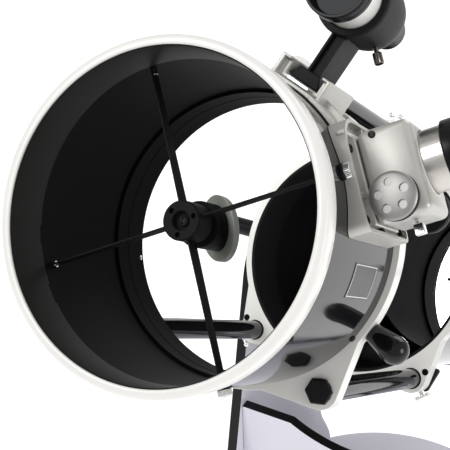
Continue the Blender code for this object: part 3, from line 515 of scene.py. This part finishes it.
def make_spider():
    front, rear = station(51.5 * MM), station(84 * MM)
    hub = [(0, front - 6 * MM), (7.6 * MM, front - 6 * MM), (8.3 * MM, front - 0.8 * MM), (9.0 * MM, front),
           (16.6 * MM, front), (17.7 * MM, front - 1.1 * MM), (17.7 * MM, rear + 6 * MM), (15.2 * MM, rear),
           (0, rear)]
    boss = lathe("spider_hub_body", hub, OTA, MATT, "cage", 72, replaces=("spider_hub",), slot="matt_black")
    for i, angle in enumerate((-62, 58, 178), 1):
        place = OTA @ Matrix.Translation(around(angle, 12.6 * MM).xy.to_3d())
        drill(boss, 2.5 * MM, rear + 8 * MM, front + 5 * MM, place, 24)
        foot, top = front - 6 * MM, front - 3 * MM
        screw = [(0, foot), (2.3 * MM, foot), (2.3 * MM, top), (0, top)]
        # The set screws are bright metal but take the painted recess shade, so they read as shaded down in
        # their holes.
        lathe(f"set_screw_{i}", screw, place, RECESS_SHADE, "cage", 20, slot="bright_metal")
    dome_screw("centre_screw", 5.4 * MM, OTA @ Matrix.Translation((0, 0, front - 5.6 * MM)), "cage", COLLAR)
    for name, angle in VANES.items():
        where = square_to(angle, 64 * MM)
        low, high = (-0.8 * MM, -7.5 * MM, 17.2 * MM), (0.8 * MM, 7.5 * MM, 142.9 * MM)
        block(f"vane_blade_{name}", low, high, where, MATT, "cage", 0.3 * MM, (1, 0.74),
              replaces=(f"spider_vane_{name}",), slot="matt_black")
        tip = [(0, 137), (3.2, 137), (3.2, 143), (0, 143)]
        lathe(f"vane_tip_{name}", in_mm(tip), where, CHROME, "cage", 24, slot="bright_metal", bevel=0.5 * MM)
        spacer = [(0, 145.2), (7, 145.2), (7, 147.4), (0, 147.4)]
        lathe(f"vane_spacer_{name}", in_mm(spacer), where, PLASTIC, "cage", 36, slot="black_plastic",
              bevel=0.4 * MM)
        knurled(f"vane_nut_{name}", 6.4 * MM, 147.5 * MM, 153.5 * MM, where, CHROME, "cage", 26,
                slot="bright_metal")


def make_diagonal():
    """An oval mirror at 45 degrees: its round outline is sheared along the light's path."""
    radius, thick = 30 * MM, 9 * MM * math.sqrt(2)
    out = around(FOCUSER_ANGLE).xy
    profile = [(0, 0), (radius - 0.8 * MM, 0), (radius, 0.8 * MM), (radius, thick - 0.8 * MM),
               (radius - 0.8 * MM, thick), (0, thick)]
    mesh = lathe_mesh("diagonal", profile, 96, marks=(0, 1, 1, 1, 1))
    for vertex in mesh.vertices:
        vertex.co.z += vertex.co.xy.dot(out)
    place = OTA @ Matrix.Translation((0, 0, station(138 * MM)))
    piece("diagonal_glass", mesh, place, (SILVERED, GLASS_EDGE), "cage", replaces=("diagonal_mirror",),
          slot="mirror_glass", angle=25)
    stem = [(0, 0), (20.5 * MM, 0), (21 * MM, 1 * MM), (21 * MM, 9 * MM), (0, 9 * MM)]
    mesh = lathe_mesh("stem", stem, 72)
    top = station(86 * MM) - station(138 * MM)
    for vertex in mesh.vertices:
        if vertex.co.z > 8 * MM:
            vertex.co.z = top
        else:
            vertex.co.z += thick + 0.4 * MM + vertex.co.xy.dot(out)
    piece("diagonal_stem", mesh, place, MATT, "cage", replaces=("diagonal_holder",), slot="matt_black",
          bevel=0.6 * MM)
    plate = [(0, 0), (18 * MM, 0), (18 * MM, 2.4 * MM), (15 * MM, 3 * MM), (0, 3 * MM)]
    lathe("diagonal_plate", plate, OTA @ Matrix.Translation((0, 0, station(90 * MM))), CHROME, "cage", 64,
          slot="bright_metal")


def make_label():
    """A plain dark plate with a thin border, bent to the tube."""
    sector("blank_label", 88.5, 101, 102, 167, 145.1, 145.4, LABEL, "cage", "black_plastic", 0)
    edges = ((89.0, 89.25, 104, 165), (100.25, 100.5, 104, 165), (89.0, 100.5, 104, 104.6),
             (89.0, 100.5, 164.4, 165))
    for i, edge in enumerate(edges, 1):
        sector(f"label_border_{i}", *edge, 145.2, 145.6, WHITE, "cage", "black_plastic", 0)


# Focuser --------------------------------------------------------------------------------------


def rounded_outline(low, high, radii):
    """A rectangle whose corners are rounded, listed from its low corner the way X turns to Y."""
    corners = ((low[0], low[1], 180), (high[0], low[1], 270), (high[0], high[1], 0), (low[0], high[1], 90))
    points = []
    for (x, y, start), radius in zip(corners, radii):
        centre = (x + (radius if x == low[0] else -radius), y + (radius if y == low[1] else -radius))
        points += arc(centre, radius, start, start + 90, 9)
    return [(x * MM, y * MM) for x, y in points]


def make_focuser():
    """A saddle with a raised rim round a shallow pocket, and the housing on a pad in the middle."""
    outline = rounded_outline((-53, -64), (50, 64), (9, 34, 34, 9))
    saddle = piece("focuser_base", plate_mesh("base", outline, 0.12, 155 * MM), FOCUSER, (CASTING, CASTING),
                   "cage", replaces=("focuser_saddle",), slot="grey_casting", bevel=1.4 * MM, segments=3)
    inset = rounded_outline((-49.5, -60.5), (46.5, 60.5), (6, 31, 31, 6))
    cut(saddle, plate_mesh("pocket", inset, 149 * MM, 0.17), FOCUSER)
    cut(saddle, lathe_mesh("seat", SEAT, 144), FOCUSER @ along((0, 1, 0)))
    drill(saddle, 29.8 * MM, 0.1, 0.16, FOCUSER)
    low, high = scaled(-45.5, -35.5, 147), scaled(35.5, 35.5, 155.2)
    pad = block("focuser_pad", low, high, FOCUSER, CASTING, "cage", bevel=2 * MM, slot="grey_casting")
    drill(pad, 29.8 * MM, 0.1, 0.16, FOCUSER)
    for i, (x, y) in enumerate(((21, 49), (-42, 53), (21, -49), (-42, -53), (-48, 14)), 1):
        place = FOCUSER @ Matrix.Translation((x * MM, y * MM, 151 * MM))
        socket_screw(f"base_screw_{i}", 4 * MM, place, "cage")
    ribs = (((32, 34), (36, 61)), ((-20, 34), (-17, 61)), ((34, -61), (38, -34)), ((34, -2), (48, 2)))
    for i, (low, high) in enumerate(ribs, 1):
        block(f"base_rib_{i}", scaled(*low, 147), scaled(*high, 154), FOCUSER, CASTING, "cage",
              bevel=1 * MM, slot="grey_casting")
    sector("focuser_web", 28, 43, 90, 166, 145.4, 150.4, CASTING, "cage", "grey_casting", 1.2)
    sector("focuser_web_rib", 29, 44, 108, 112, 147, 156, CASTING, "cage", "grey_casting", 1.2)
    body = block("focuser_housing", (-46 * MM, -36 * MM, 155.3 * MM), (36 * MM, 36 * MM, 203 * MM), FOCUSER,
                 CASTING, "cage", bevel=7 * MM, segments=4, replaces=("focuser_body",), slot="grey_casting")
    settle(body)
    drill(body, 28.5 * MM, 0.14, 0.22, FOCUSER, 96)
    bezel = [(28.5, 202.6), (30.6, 202.6), (30.2, 203.8), (28.9, 203.8)]
    lathe("drawtube_bezel", in_mm(bezel), FOCUSER, CASTING, "cage", 96, True, slot="grey_casting")
    for i, (x, z) in enumerate(((30, 170), (-38, 164)), 1):
        where = FOCUSER @ along((0, 1, 0), (x * MM, 36 * MM, z * MM))
        socket_screw(f"housing_screw_{i}", 3.2 * MM, where, "cage", 1 * MM)
    tube = [(25.7, 156), (28, 156), (28, 221.6), (27.6, 222), (25.7, 222)]
    lathe("drawtube_barrel", in_mm(tube), FOCUSER, BRUSHED, "drawtube", 128, True, replaces=("drawtube",),
          slot="aluminium")
    make_focus_knobs()
    low = 222.3
    adapter = [(15.9, low - 14), (25.2, low - 14), (25.2, low), (30, low), (31, low + 1), (31, low + 15.5),
               (29.5, low + 18), (22, low + 20), (22, low + 38), (21, low + 40), (15.9, low + 40)]
    lathe("adapter_body", in_mm(adapter), FOCUSER, PLASTIC, "drawtube", 96, True,
          replaces=("eyepiece_adapter",), slot="black_plastic", bevel=0.5 * MM)
    out = Vector((0.8, -0.6, 0))
    place = out * 31 * MM + Vector((0, 0, (low + 9) * MM))
    make_thumbscrew("adapter_lock", place, out, 5 * MM, 16 * MM, FOCUSER, PLASTIC, "adapter_thumbscrew",
                    "adapter_thumbscrew", "black_plastic")
    make_eyepiece(low + 40.3)


def make_thumbscrew(name, place, axis, radius, length, parent, material, body, node, slot):
    where = parent @ along(axis, place)
    knurled(name, radius, 6 * MM, length, where, material, body, 18, replaces=(node,), slot=slot)
    stem = [(0, 0.3 * MM), (radius * 0.5, 0.3 * MM), (radius * 0.5, 6 * MM), (0, 6 * MM)]
    lathe(f"{name}_stem", stem, where, material, body, 20, slot=slot)


def make_eyepiece(shoulder):
    profile = [(0, 35), (10, 33.5), (12.6, 35.4), (13, 40), (18.6, 40), (19.8, 38.5), (20, 36), (20, 26),
               (19.4, 25), (19.4, 8), (20, 7), (20, 3), (18, 0), (15.6, 0), (15.6, -28), (0, -28)]
    points = [(r * MM, (shoulder + z) * MM) for r, z in profile]
    marks = (1, 1, 0, 0, 0, 0, 0, 0, 0, 0, 0, 0, 0, 2, 2)
    lathe("eyepiece_body", points, FOCUSER, (PLASTIC, LENS, CHROME), "eyepiece", 72, marks=marks,
          replaces=("eyepiece",), slot="black_plastic")


def make_focus_knobs():
    """Two domed knobs with five flat dimples and a knurled band, on one shaft."""
    side, radial, inner = -30.4 * MM, 180 * MM, 51
    for name, sign in (("front", 1), ("rear", -1)):
        where = FOCUSER @ along((0, sign, 0), (side, 0, radial))
        face = [(0, 13.8), (7, 13.6), (13, 12.9), (17.4, 11.9), (19.4, 11.1), (20.3, 10), (20.3, 9.2),
                (0, 9)]
        face = [(r * MM, (inner + z) * MM) for r, z in face]
        disc = lathe(f"knob_face_{name}", face, where, SATIN, "focus_shaft", 96,
                     replaces=(f"focus_knob_{name}",), slot="aluminium")
        band = knurled(f"knob_band_{name}", 20.4 * MM, (inner + 0.6) * MM, (inner + 9.1) * MM, where, MATT,
                       "focus_shaft", 60, slot="aluminium")
        for i in range(5):
            turn = math.radians(72 * i)
            spot = where @ Matrix.Translation((11.4 * MM * math.cos(turn), 11.4 * MM * math.sin(turn), 0))
            drill(disc, 3.8 * MM, (inner + 11.6) * MM, (inner + 16) * MM, spot, 32)
            drill(band, 4.6 * MM, (inner - 2) * MM, (inner + 5) * MM, spot, 24)
        collar = [(2.6, 36), (10, 36), (10, 47), (8.5, 49), (2.6, 49)]
        lathe(f"shaft_collar_{name}", in_mm(collar), where, CASTING, "cage", 40, True, slot="grey_casting")
    pin = FOCUSER @ along((0, 1, 0), (side, 0, radial))
    rod = [(0, -51 * MM), (2 * MM, -51 * MM), (2 * MM, 51 * MM), (0, 51 * MM)]
    lathe("focus_rod", rod, pin, CHROME, "focus_shaft", 32, replaces=("focus_shaft",), slot="bright_metal")
    where = FOCUSER @ along((-1, 0, 0), (-46 * MM, 12 * MM, 184 * MM))
    block("focus_lock_head", (-4.4 * MM, -4.4 * MM, 4 * MM), (4.4 * MM, 4.4 * MM, 14 * MM), where, CHROME,
          "focus_lock_screw", 0.8 * MM, replaces=("focus_lock_screw",), slot="bright_metal")
    stem = [(0, 0.4), (2.4, 0.4), (2.4, 4.2), (0, 4.2)]
    lathe("focus_lock_stem", in_mm(stem), where, CHROME, "focus_lock_screw", 24, slot="bright_metal")


# Finder ---------------------------------------------------------------------------------------


def make_finder():
    middle = FINDER_MIDDLE / MM
    centre = Vector((FINDER_SIDE, 0, FINDER_RADIAL))
    line = FINDER @ along((0, 1, 0), centre)

    def down_line(points):
        return [(r * MM, (middle - s) * MM) for r, s in points]

    shoe = block("finder_foot", scaled(-27, -34, 125), scaled(27, 34, 168), FINDER, CASTING, "cage",
                 bevel=2.4 * MM, replaces=("finder_shoe",), slot="grey_casting")
    cut(shoe, lathe_mesh("seat", SEAT, 144), FINDER @ along((0, 1, 0)))
    cut(shoe, box_mesh("channel", (-17.5 * MM, -0.05, 153.7 * MM), (17.5 * MM, 0.05, 0.18)), FINDER)
    cut(shoe, box_mesh("relief", (-23 * MM, 26 * MM, 149.5 * MM), (23 * MM, 36 * MM, 165 * MM)), FINDER)
    block("shoe_bar", (-13 * MM, 31 * MM, 150 * MM), (11 * MM, 34 * MM, 153.2 * MM), FINDER, CHROME, "cage",
          bevel=0.8 * MM, slot="bright_metal")
    stalk = block("finder_stalk", scaled(-7, -25, 158), scaled(7, 10, 209), FINDER, CRACKLE,
                  "finder_bracket", bevel=0.8 * MM, slot="black_plastic")
    drill(stalk, 33 * MM, -0.1, 0.1, line, 96)
    for name, low, high in (("left", (-7, 9, 158), (-4.6, 15, 205)), ("right", (4.6, 9, 158), (7, 15, 205))):
        flange = block(f"stalk_flange_{name}", scaled(*low), scaled(*high), FINDER, CRACKLE,
                       "finder_bracket", bevel=0.6 * MM, slot="black_plastic")
        drill(flange, 33 * MM, -0.1, 0.1, line, 96)
    block("finder_dovetail", (-16 * MM, -30 * MM, 154 * MM), (16 * MM, 22 * MM, 166 * MM), FINDER, CRACKLE,
          "finder_bracket", bevel=1.2 * MM, taper=(0.7, 1), slot="black_plastic")
    hoop = [(27.3, 107.5), (28, 107), (32.6, 107), (33.6, 108.4), (34, 112), (34, 150), (33.4, 160),
            (31.8, 168), (30.4, 170.6), (29.4, 171), (27.4, 171)]
    lathe("finder_hoop", down_line(hoop), line, CRACKLE, "finder_bracket", 112, True,
          replaces=("finder_bracket",), slot="black_plastic")
    barrel = [(0, 165), (24.5, 165), (24.5, 80.6), (24.9, 80.2), (26.1, 80.2), (26.5, 80.6), (26.5, 175.4),
              (26, 176), (17.6, 190), (17.4, 191), (17.4, 220), (16, 221.8), (9, 221.8), (8.4, 219.2),
              (0, 219)]
    marks = (2, 1) + (0,) * 5 + (1,) * 6 + (2,)
    lathe("finder_barrel", down_line(barrel), line, (WHITE, PLASTIC, LENS), "finder", 112, marks=marks,
          replaces=("finder_tube",), slot="white_casting")
    cell = [(0, 75), (12, 74.6), (24.4, 75), (26.2, 64.4), (26.6, 63.2), (27.4, 63), (28.8, 63.2),
            (29.4, 64.4), (29.4, 72), (28.7, 72.5), (28.7, 73.2), (29.4, 73.7), (29.4, 78.6), (28.8, 79.5),
            (24.5, 79.5), (24.5, 78), (0, 78)]
    marks = (2, 2, 1) + (0,) * 11 + (1, 2)
    lathe("finder_objective", down_line(cell), line, (PLASTIC, MATT, LENS), "finder_cell", 112, marks=marks,
          replaces=("finder_cell",), slot="black_plastic")
    for name, angle in (("right", -50), ("left", 70), ("spring", 190)):
        lean = math.radians(angle)
        out = Vector((math.sin(lean), 0, -math.cos(lean)))
        place = centre + Vector((0, (middle - 150) * MM, 0)) + out * 34 * MM
        if name == "spring":
            case = [(0, -0.4), (8, -0.4), (8, 6), (7, 8), (0, 8)]
            lathe("finder_spring_case", in_mm(case), FINDER @ along(out, place), CRACKLE,
                  "finder_bracket", 40, slot="black_plastic")
        else:
            node = f"finder_screw_{name}"
            make_thumbscrew(f"finder_thumb_{name}", place, out, 4.4 * MM, 17 * MM, FINDER, DARK_CHROME,
                            node, node, "bright_metal")
    wing = FINDER @ along((1, 0, 0), (27 * MM, -21 * MM, 161 * MM))
    block("shoe_wing", scaled(-4.4, -7, 4), scaled(4.4, 7, 17), wing, CASTING, "shoe_screw",
          bevel=3.4 * MM, segments=4, replaces=("shoe_screw",), slot="bright_metal")
    stem = [(0, 0.4), (2.2, 0.4), (2.2, 5), (0, 5)]
    lathe("shoe_wing_stem", in_mm(stem), wing, CHROME, "shoe_screw", 24, slot="bright_metal")


# Lower tube -----------------------------------------------------------------------------------


def make_lower_tube():
    make_shell("lower_tube_shell", 578.4, 1152, "tube", "lower_tube")
    ring = make_lobed_ring("lower_casting", LOWER_FRONT, 577.8 * MM, "tube", "lower_ring", 13.2 * MM)
    throat = [(139.6, 549.2), (140.6, 548.2), (143.2, 548.2), (143.2, 577.6), (142.7, 578), (142.7, 625.6),
              (139.6, 625.6)]
    turned("lower_throat", in_metres(throat), MATT, "tube", slot="matt_black")
    tail = [(145.4, 1134), (149.6, 1134), (150.2, 1134.8), (150.2, 1161), (149, 1163.6), (146.5, 1165),
            (142.6, 1165), (142, 1164.4), (142, 1152.4), (145.4, 1152.4)]
    turned("tail_rim", in_metres(tail), WHITE, "tube", replaces=("tail_ring",), slot="white_casting",
           angle=50)
    make_strut_locks(ring)


def make_strut_locks(ring):
    """At each lower lobe: a bush, a blind hole with a near-black disc of painted shade sunk in it, a black
    pad behind the flank and the tee screw.
    """
    for name, angle in LOBE_ANGLES.items():
        side = -1 if name == "left" else 1
        bush = [(12.4, 552), (13.1, 552), (13.1, 581), (12.4, 581)]
        lathe(f"strut_bush_{name}", in_metres(bush), strut_line(angle), PLASTIC, "tube", 48, True,
              slot="black_plastic")
        hole = OTA @ Matrix.Translation(around(angle - side * 6.8, 167.6 * MM).xy.to_3d())
        drill(ring, 4.2 * MM, station(562 * MM), station(540 * MM), hole, 32)
        # A near-black disc 1 mm down the blind hole: painted shade for the hole's bottom.
        hole_shade = [(0, 560), (4.1, 560), (4.1, 549), (0, 549)]
        lathe(f"lobe_hole_shade_{name}", in_metres(hole_shade), hole, RECESS_SHADE, "tube", 32, slot="black_plastic")
        out = around(angle).xy.to_3d()
        forward = Vector((0, 0, 1))
        across = forward.cross(out) * side
        behind = OTA @ axes(across, out, across.cross(out), (0, 0, station(583 * MM)))
        outline = [(26, 165), (29.4, 168.4), (28.6, 171.4), (5, 186.6), (1, 186), (-2, 178), (14, 166)]
        mesh = plate_mesh("pad", in_mm(outline), -4 * MM, 4 * MM)
        piece(f"strut_pad_{name}", mesh, behind, (PLASTIC, PLASTIC), "tube", slot="black_plastic",
              bevel=1 * MM)
        where = square_to(angle, 563 * MM) @ Matrix.Translation((0, 0, 184 * MM))
        stem = [(0, 0.4), (2.8, 0.4), (2.8, 5.6), (2, 6.4), (2, 8.4), (0, 8.4)]
        lathe(f"lock_stem_{name}", in_mm(stem), where, CHROME, f"strut_lock_{name}", 32,
              replaces=(f"strut_lock_{name}",), slot="bright_metal")
        ball = arc((0, 6.5), 3.5, 90, -66, 12)
        bar = [(0, 10)] + ball[1:] + [(r, -z) for r, z in reversed(ball[1:])] + [(0, -10)]
        lathe(f"lock_bar_{name}", in_mm(bar), where @ along((1, 0, 0), (0, 0, 7.5 * MM)), CHROME,
              f"strut_lock_{name}", 32, slot="bright_metal")


def make_primary():
    radius, face, focal = 127 * MM, 1090 * MM, 1200 * MM
    back = station(1120 * MM)
    profile = [(0, back), (radius, back), (radius, station(face) - 1 * MM), (radius - 1 * MM, station(face))]
    for i in range(1, 25):
        r = radius * (1 - i / 24)
        profile.append((r, station(face + (radius**2 - r**2) / (4 * focal))))
    marks = (1, 1, 1) + (0,) * 24
    lathe("primary_glass", profile, OTA, (SILVERED, GLASS_EDGE), "mirror", 160, marks=marks,
          replaces=("primary_mirror",), slot="mirror_glass", angle=20)
    spot = [(0, 0.35), (3.2, 0.35), (3.2, 0.1), (0, 0.1)]
    centre = station(face + radius**2 / (4 * focal))
    where = OTA @ Matrix.Translation((0, 0, centre))
    lathe("centre_spot", in_mm(spot), where, MATT, "mirror", 40, slot="black_plastic")
    for i, angle in enumerate((60, 180, 300), 1):
        where = square_to(angle, 1100 * MM)
        block(f"mirror_clip_{i}", scaled(-7, -22, 128), scaled(7, 12, 131), where, MATT, "mirror",
              bevel=0.8 * MM, slot="matt_black")
        block(f"mirror_clip_tip_{i}", scaled(-7, 10.6, 121), scaled(7, 13, 131), where, MATT, "mirror",
              bevel=0.6 * MM, slot="matt_black")


# Mounting -------------------------------------------------------------------------------------


def panel_outline():
    drop, arc_radius = 28 * MM, 127.6 * MM
    knee, foot = Vector((203 * MM, -335 * MM)), -589.7 * MM
    centre = Vector((0, -drop))
    lean = math.degrees(math.atan2(knee.y - centre.y, knee.x - centre.x)
                        + math.acos(arc_radius / (knee - centre).length))
    points = [(166 * MM, foot), (knee.x, knee.y), *arc(centre, arc_radius, lean, 180, 56)]
    for i in range(13):
        t = 1 - i / 12
        sway = (1 + math.cos(math.pi * t)) / 2
        points.append((-arc_radius + (-182 * MM + arc_radius) * sway, foot + 150 * MM * t))
    return points


def make_panels():
    upright = Matrix(((0, 0, -1), (-1, 0, 0), (0, 1, 0))).to_4x4()
    for side, sign in (("left", -1), ("right", 1)):
        where = Matrix.Translation(AXIS) @ Matrix.Translation((sign * 192.5 * MM, 0, 0)) @ upright
        mesh = plate_mesh(f"panel_{side}", panel_outline(), -8 * MM, 8 * MM)
        panel = piece(f"panel_board_{side}", mesh, where, (LAMINATE, BANDING), "rocker",
                      replaces=(f"side_panel_{side}",), slot="laminate", bevel=0.7 * MM)
        axle = Matrix.Translation(AXIS) @ along((1, 0, 0))
        drill(panel, 22.3 * MM, -0.3, 0.3, axle, 64)
    half, foot, top = 184.2 * MM, -589.7 * MM, -209 * MM
    dip_half, depth = 102 * MM, 28 * MM
    radius = (dip_half**2 + depth**2) / (2 * depth)
    spread = math.degrees(math.asin(dip_half / radius))
    dip = arc((0, top - depth + radius), radius, -90 - spread, -90 + spread, 40)
    outline = [(-half, foot), (-half, top), *dip, (half, top), (half, foot)]
    facing = Matrix(((1, 0, 0), (0, 0, -1), (0, 1, 0))).to_4x4()
    where = Matrix.Translation(AXIS) @ Matrix.Translation((0, -160 * MM, 0)) @ facing
    mesh = plate_mesh("front_board", outline, -8 * MM, 8 * MM)
    piece("front_board", mesh, where, (LAMINATE, BANDING), "rocker", replaces=("front_panel",),
          slot="laminate", bevel=0.7 * MM)
    for node, body in (("rocker_floor", "rocker"), ("ground_board", "base")):
        low, high = (Vector(corner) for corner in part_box(node))
        middle, radius = (low + high) / 2, (high.x - low.x) / 2
        profile = disc_profile(radius, low.z, high.z, 0.8 * MM)
        where = Matrix.Translation((middle.x, middle.y, 0))
        lathe(f"{node}_disc", profile, where, (LAMINATE, BANDING), body, 160, marks=(0, 1, 1, 1, 0),
              replaces=(node,), slot="laminate")


def make_altitude():
    for side, sign in (("left", -1), ("right", 1)):
        axle = Matrix.Translation(AXIS) @ along((sign, 0, 0))
        body = f"altitude_handle_{side}"
        grip = [(0, 323.4), (8, 322.8), (12, 320), (13.3, 315), (13.4, 222), (13.9, 219), (17.6, 213),
                (18, 211), (18, 206), (17.4, 205.5), (0, 205.5)]
        lathe(f"handle_grip_{side}", in_mm(grip), axle, PLASTIC, body, 64, replaces=(body,),
              slot="black_plastic", angle=40)
        for i, z in enumerate((232, 240, 300, 308), 1):
            ring = [(13.3, z - 1.4), (13.8, z - 1), (13.8, z + 1), (13.3, z + 1.4)]
            lathe(f"grip_rib_{side}_{i}", in_mm(ring), axle, PLASTIC, body, 64, True, slot="black_plastic")


def dress_nodes():
    """The CAD nodes that stay as they are get the detailed materials."""
    looks = {
        "foot_front": RUBBER, "foot_rear_left": RUBBER, "foot_rear_right": RUBBER, "azimuth_bearing": NYLON,
        "pivot_bolt": CHROME, "altitude_bush_left": NYLON, "altitude_bush_right": NYLON,
        "altitude_hub_left": PLASTIC, "altitude_hub_right": PLASTIC, "mirror_carrier": BRUSHED,
        "mirror_cell": MATT, "collimation_knob_1": PLASTIC, "collimation_knob_2": PLASTIC,
        "collimation_knob_3": PLASTIC,
    }
    for name, look in looks.items():
        mesh = frame["nodes"][name].data
        for i in range(len(mesh.materials)):
            mesh.materials[i] = look


# Studio ---------------------------------------------------------------------------------------


def make_studio():
    mesh = box_mesh("floor", (-9, -9, -0.02), (9, 9, 0))
    floor = bpy.data.objects.new("studio_floor", mesh)
    bpy.context.scene.collection.objects.link(floor)
    paper = finish("paper_floor", (0.93, 0.93, 0.93), 0.6, bump=0.02, blotch=0.004)
    shader = paper.node_tree.nodes["Principled BSDF"]
    shader.inputs["Emission Color"].default_value = (1, 1, 1, 1)
    shader.inputs["Emission Strength"].default_value = 0.4
    mesh.materials.append(paper)
    world = bpy.data.worlds.new("studio")
    bpy.context.scene.world = world
    world.use_nodes = True
    world.node_tree.nodes["Background"].inputs["Color"].default_value = (1, 1, 1, 1)
    world.node_tree.nodes["Background"].inputs["Strength"].default_value = 0.6
    for name, place, aim, size, power in (
            ("key", (-1.2, -2.2, 3.2), (0, 0, 0.9), 1.6, 45),
            ("side", (2.6, -0.6, 1.6), (0, 0, 0.9), 1.2, 22),
            ("back", (0.6, 2.4, 2.6), (0, 0, 0.8), 1.8, 30)):
        data = bpy.data.lights.new(name, "AREA")
        data.size, data.energy = size, power
        lamp = bpy.data.objects.new(name, data)
        bpy.context.scene.collection.objects.link(lamp)
        lamp.location = place
        lamp.rotation_euler = (Vector(aim) - Vector(place)).to_track_quat("-Z", "Y").to_euler()


def make_camera():
    data = bpy.data.cameras.new("camera")
    data.lens, data.sensor_width = CAMERA_LENS, 36
    data.clip_start, data.clip_end = 0.02, 60
    camera = bpy.data.objects.new("camera", data)
    bpy.context.scene.collection.objects.link(camera)
    back = -CAMERA_AIM.normalized()
    right = (CAMERA_RIGHT - back * CAMERA_RIGHT.dot(back)).normalized()
    camera.matrix_world = axes(right, back.cross(right), back, AXIS + CAMERA_PLACE)
    bpy.context.scene.camera = camera


make_camera()
make_studio()
bpy.context.scene.view_settings.view_transform = "Standard"
make_upper_tube()
make_strut_ring()
make_struts()
make_guide_handle()
make_spider()
make_diagonal()
make_label()
make_focuser()
make_finder()
make_lower_tube()
make_primary()
make_panels()
make_altitude()
dress_nodes()
